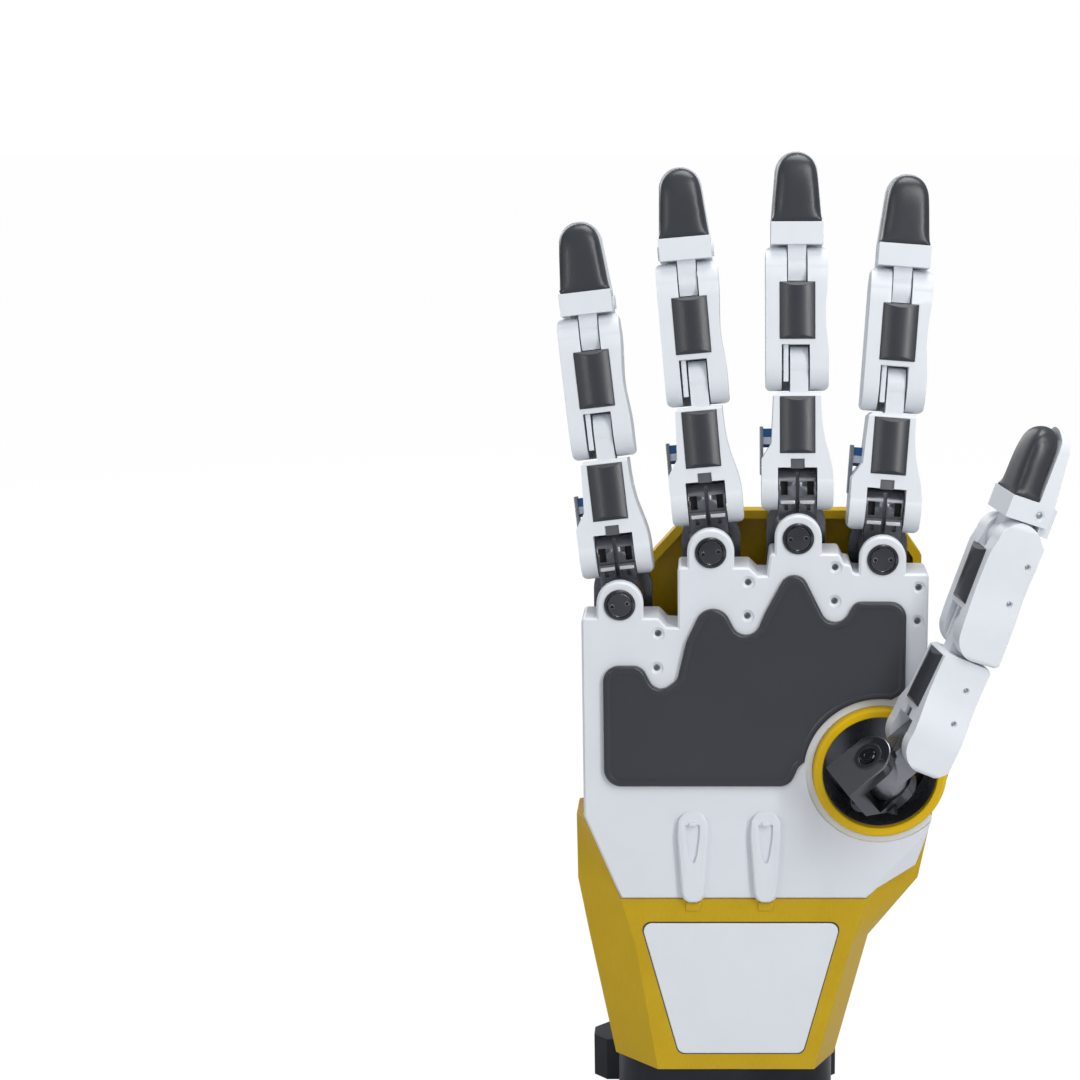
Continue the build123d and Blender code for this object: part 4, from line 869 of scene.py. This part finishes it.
    def fairings(self, made: bmesh.types.BMesh) -> bmesh.types.BMesh:
        """Take the plain ridges off the cover's face, and model the two soft fairings with their hollows.

        Args:
            made: the cover's geometry.

        Returns:
            The cover without ridges.
        """
        old_ridges = bmesh.new()
        shells, hollows, stubs = bmesh.new(), bmesh.new(), bmesh.new()
        toes = bmesh.new()
        sheath_copy = merged_copy("heel_sheath")
        sheath = BVHTree.FromBMesh(sheath_copy)
        sheath_copy.free()
        for x in self.fairing_x:
            block(old_ridges, (11.4, 8.0, 28.0), Matrix.Translation(Vector((x, -18.03, 85.9)) * MM), 0.1)
            prism(shells, [(x + dx, z) for dx, z in self.fairing_outline], -16.6, -13.6)
            prism(hollows, [(x + dx, z) for dx, z in self.hollow_outline], -18.0, -14.9)
            block(stubs, (2.2, 1.2, 1.1), Matrix.Translation(Vector((x, -15.9, 95.2)) * MM), 0.3)
            hit = sheath.ray_cast(Vector((x, -60.0, 69.7)) * MM, Vector((0.0, 1.0, 0.0)))[0]
            block(toes, (4.5, 1.4, 2.8), Matrix.Translation(hit), 0.6)
        top = 97.0 * MM
        for vert in shells.verts:
            if vert.co.z > top and vert.co.y < -0.016:
                vert.co.y = -0.0148
        rim = [e for e in shells.edges if all(v.co.y < -0.0140 for v in e.verts)]
        bmesh.ops.bevel(shells, geom=rim, offset=1.0 * MM, offset_type="OFFSET", affect="EDGES", segments=5,
                        profile=0.5, material=-1, clamp_overlap=True)
        body = frame["nodes"]["palm_cover"]["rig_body"]
        show(carve(shells, hollows), "cover_fairings", body, (WHITE,), 50.0)
        show(stubs, "fairing_stubs", body, (WHITE,))
        show(toes, "sheath_toes", frame["nodes"]["heel_sheath"]["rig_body"], (SHEATH,))
        return carve(made, old_ridges)

    def build(self) -> None:
        """Dress every node of the palm."""
        for node, finish, rounding in self.plan:
            soften(node, finish, rounding)
            log.info("palm piece %s", node)
        soften("palm_cover", WHITE, MOULDED, self.fairings)
        self.pad()
        self.screws()
        self.panel_seam()
        self.caps()
        self.saddle()
        self.socket_parts()


@dataclass
class Studio:
    """Pale floor, soft lights and the camera of the reference view."""

    focal_px: float = 2321.0
    image_px: float = 1080.0
    axis_u_px: float = 725.0
    axis_v_px: float = 564.0
    distance: float = 0.650
    elevation_deg: float = 12.0
    aim: Vector = field(default_factory=lambda: Vector((0.0, -0.014, 0.17085)))
    sensor_mm: float = 36.0

    def floor(self) -> None:
        """Lay a pale floor that shows as white and keeps a faint shadow."""
        made = bmesh.new()
        bmesh.ops.create_grid(made, x_segments=1, y_segments=1, size=8.0)
        mesh = bpy.data.meshes.new("floor")
        made.to_mesh(mesh)
        made.free()
        floor = bpy.data.objects.new("floor", mesh)
        bpy.context.scene.collection.objects.link(floor)
        material = bpy.data.materials.new("pale_floor")
        material.use_nodes = True
        tree = material.node_tree
        tree.nodes.clear()
        paint = add_node(tree, "ShaderNodeBsdfDiffuse", {"Color": linear("#C2C3C6")})
        glow = add_node(tree, "ShaderNodeEmission", {"Color": (1.0, 1.0, 1.0, 1.0), "Strength": 1.05})
        rays = add_node(tree, "ShaderNodeLightPath")
        seen = add_node(tree, "ShaderNodeMath", {0: rays.outputs["Is Camera Ray"], 1: 0.93}, operation="MULTIPLY")
        mixed = add_node(tree, "ShaderNodeMixShader", {0: seen.outputs[0], 1: paint.outputs[0], 2: glow.outputs[0]})
        add_node(tree, "ShaderNodeOutputMaterial", {0: mixed.outputs[0]})
        mesh.materials.append(material)

    def world(self) -> None:
        """Light the hand from all round, and show white to the camera."""
        world = bpy.data.worlds.new("studio")
        bpy.context.scene.world = world
        world.use_nodes = True
        tree = world.node_tree
        tree.nodes.clear()
        room = add_node(tree, "ShaderNodeBackground", {"Color": linear("#ECEEF2"), "Strength": 0.36})
        white = add_node(tree, "ShaderNodeBackground", {"Color": (1.0, 1.0, 1.0, 1.0), "Strength": 1.0})
        rays = add_node(tree, "ShaderNodeLightPath")
        mixed = add_node(tree, "ShaderNodeMixShader",
                         {0: rays.outputs["Is Camera Ray"], 1: room.outputs[0], 2: white.outputs[0]})
        add_node(tree, "ShaderNodeOutputWorld", {0: mixed.outputs[0]})

    def lamp(self, name: str, place: tuple, aim: tuple, size: tuple[float, float], power: float) -> None:
        """Hang a soft lamp.

        Args:
            name: the lamp's name.
            place: where it hangs, in metres.
            aim: the point that it faces.
            size: the width and height of its face, in metres.
            power: its power in watts.
        """
        light = bpy.data.lights.new(name, "AREA")
        light.energy = power
        light.shape = "RECTANGLE"
        light.size, light.size_y = size
        hung = bpy.data.objects.new(name, light)
        hung.location = place
        hung.rotation_mode = "QUATERNION"
        hung.rotation_quaternion = (Vector(aim) - Vector(place)).to_track_quat("-Z", "Y")
        bpy.context.scene.collection.objects.link(hung)

    def camera(self) -> None:
        """Set the camera where the reference view was taken from."""
        tilt = radians(self.elevation_deg)
        data = bpy.data.cameras.new("camera")
        data.sensor_width = self.sensor_mm
        data.lens = self.focal_px / self.image_px * self.sensor_mm
        data.shift_x = (self.image_px / 2 - self.axis_u_px) / self.image_px
        data.shift_y = (self.axis_v_px - self.image_px / 2) / self.image_px
        data.clip_start = 0.05
        camera = bpy.data.objects.new("camera", data)
        camera.location = self.aim + self.distance * Vector((0.0, -cos(tilt), sin(tilt)))
        camera.rotation_euler = (pi / 2 - tilt, 0.0, 0.0)
        bpy.context.scene.collection.objects.link(camera)
        bpy.context.scene.camera = camera

    def build(self) -> None:
        """Set up floor, world, lamps and camera."""
        self.floor()
        self.world()
        middle = (0.01, 0.0, 0.21)
        fingers = (0.01, 0.0, 0.30)
        self.lamp("key", (0.38, -0.62, 0.82), middle, (0.45, 0.45), 3.2)
        self.lamp("fill", (-0.85, -0.6, 0.45), middle, (0.8, 0.8), 0.9)
        self.lamp("top", (0.1, 0.1, 1.0), middle, (0.5, 0.5), 4.0)
        self.lamp("rear", (-0.5, 0.9, 0.6), middle, (0.7, 0.7), 3.4)
        self.lamp("right_strip", (0.42, -0.62, 0.36), fingers, (0.05, 0.36), 1.5)
        self.lamp("left_strip", (-0.36, -0.66, 0.36), fingers, (0.04, 0.36), 0.5)
        self.camera()
        bpy.context.scene.view_settings.view_transform = "Standard"


def main() -> None:
    """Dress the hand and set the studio."""
    logging.basicConfig(level=logging.INFO, format="%(name)s %(message)s")
    for name in ("little", "ring", "middle", "index"):
        Finger(name).build()
    Finger("thumb", has_connector=False).build()
    Palm().build()
    Studio().build()


if __name__ == "__main__":
    main()
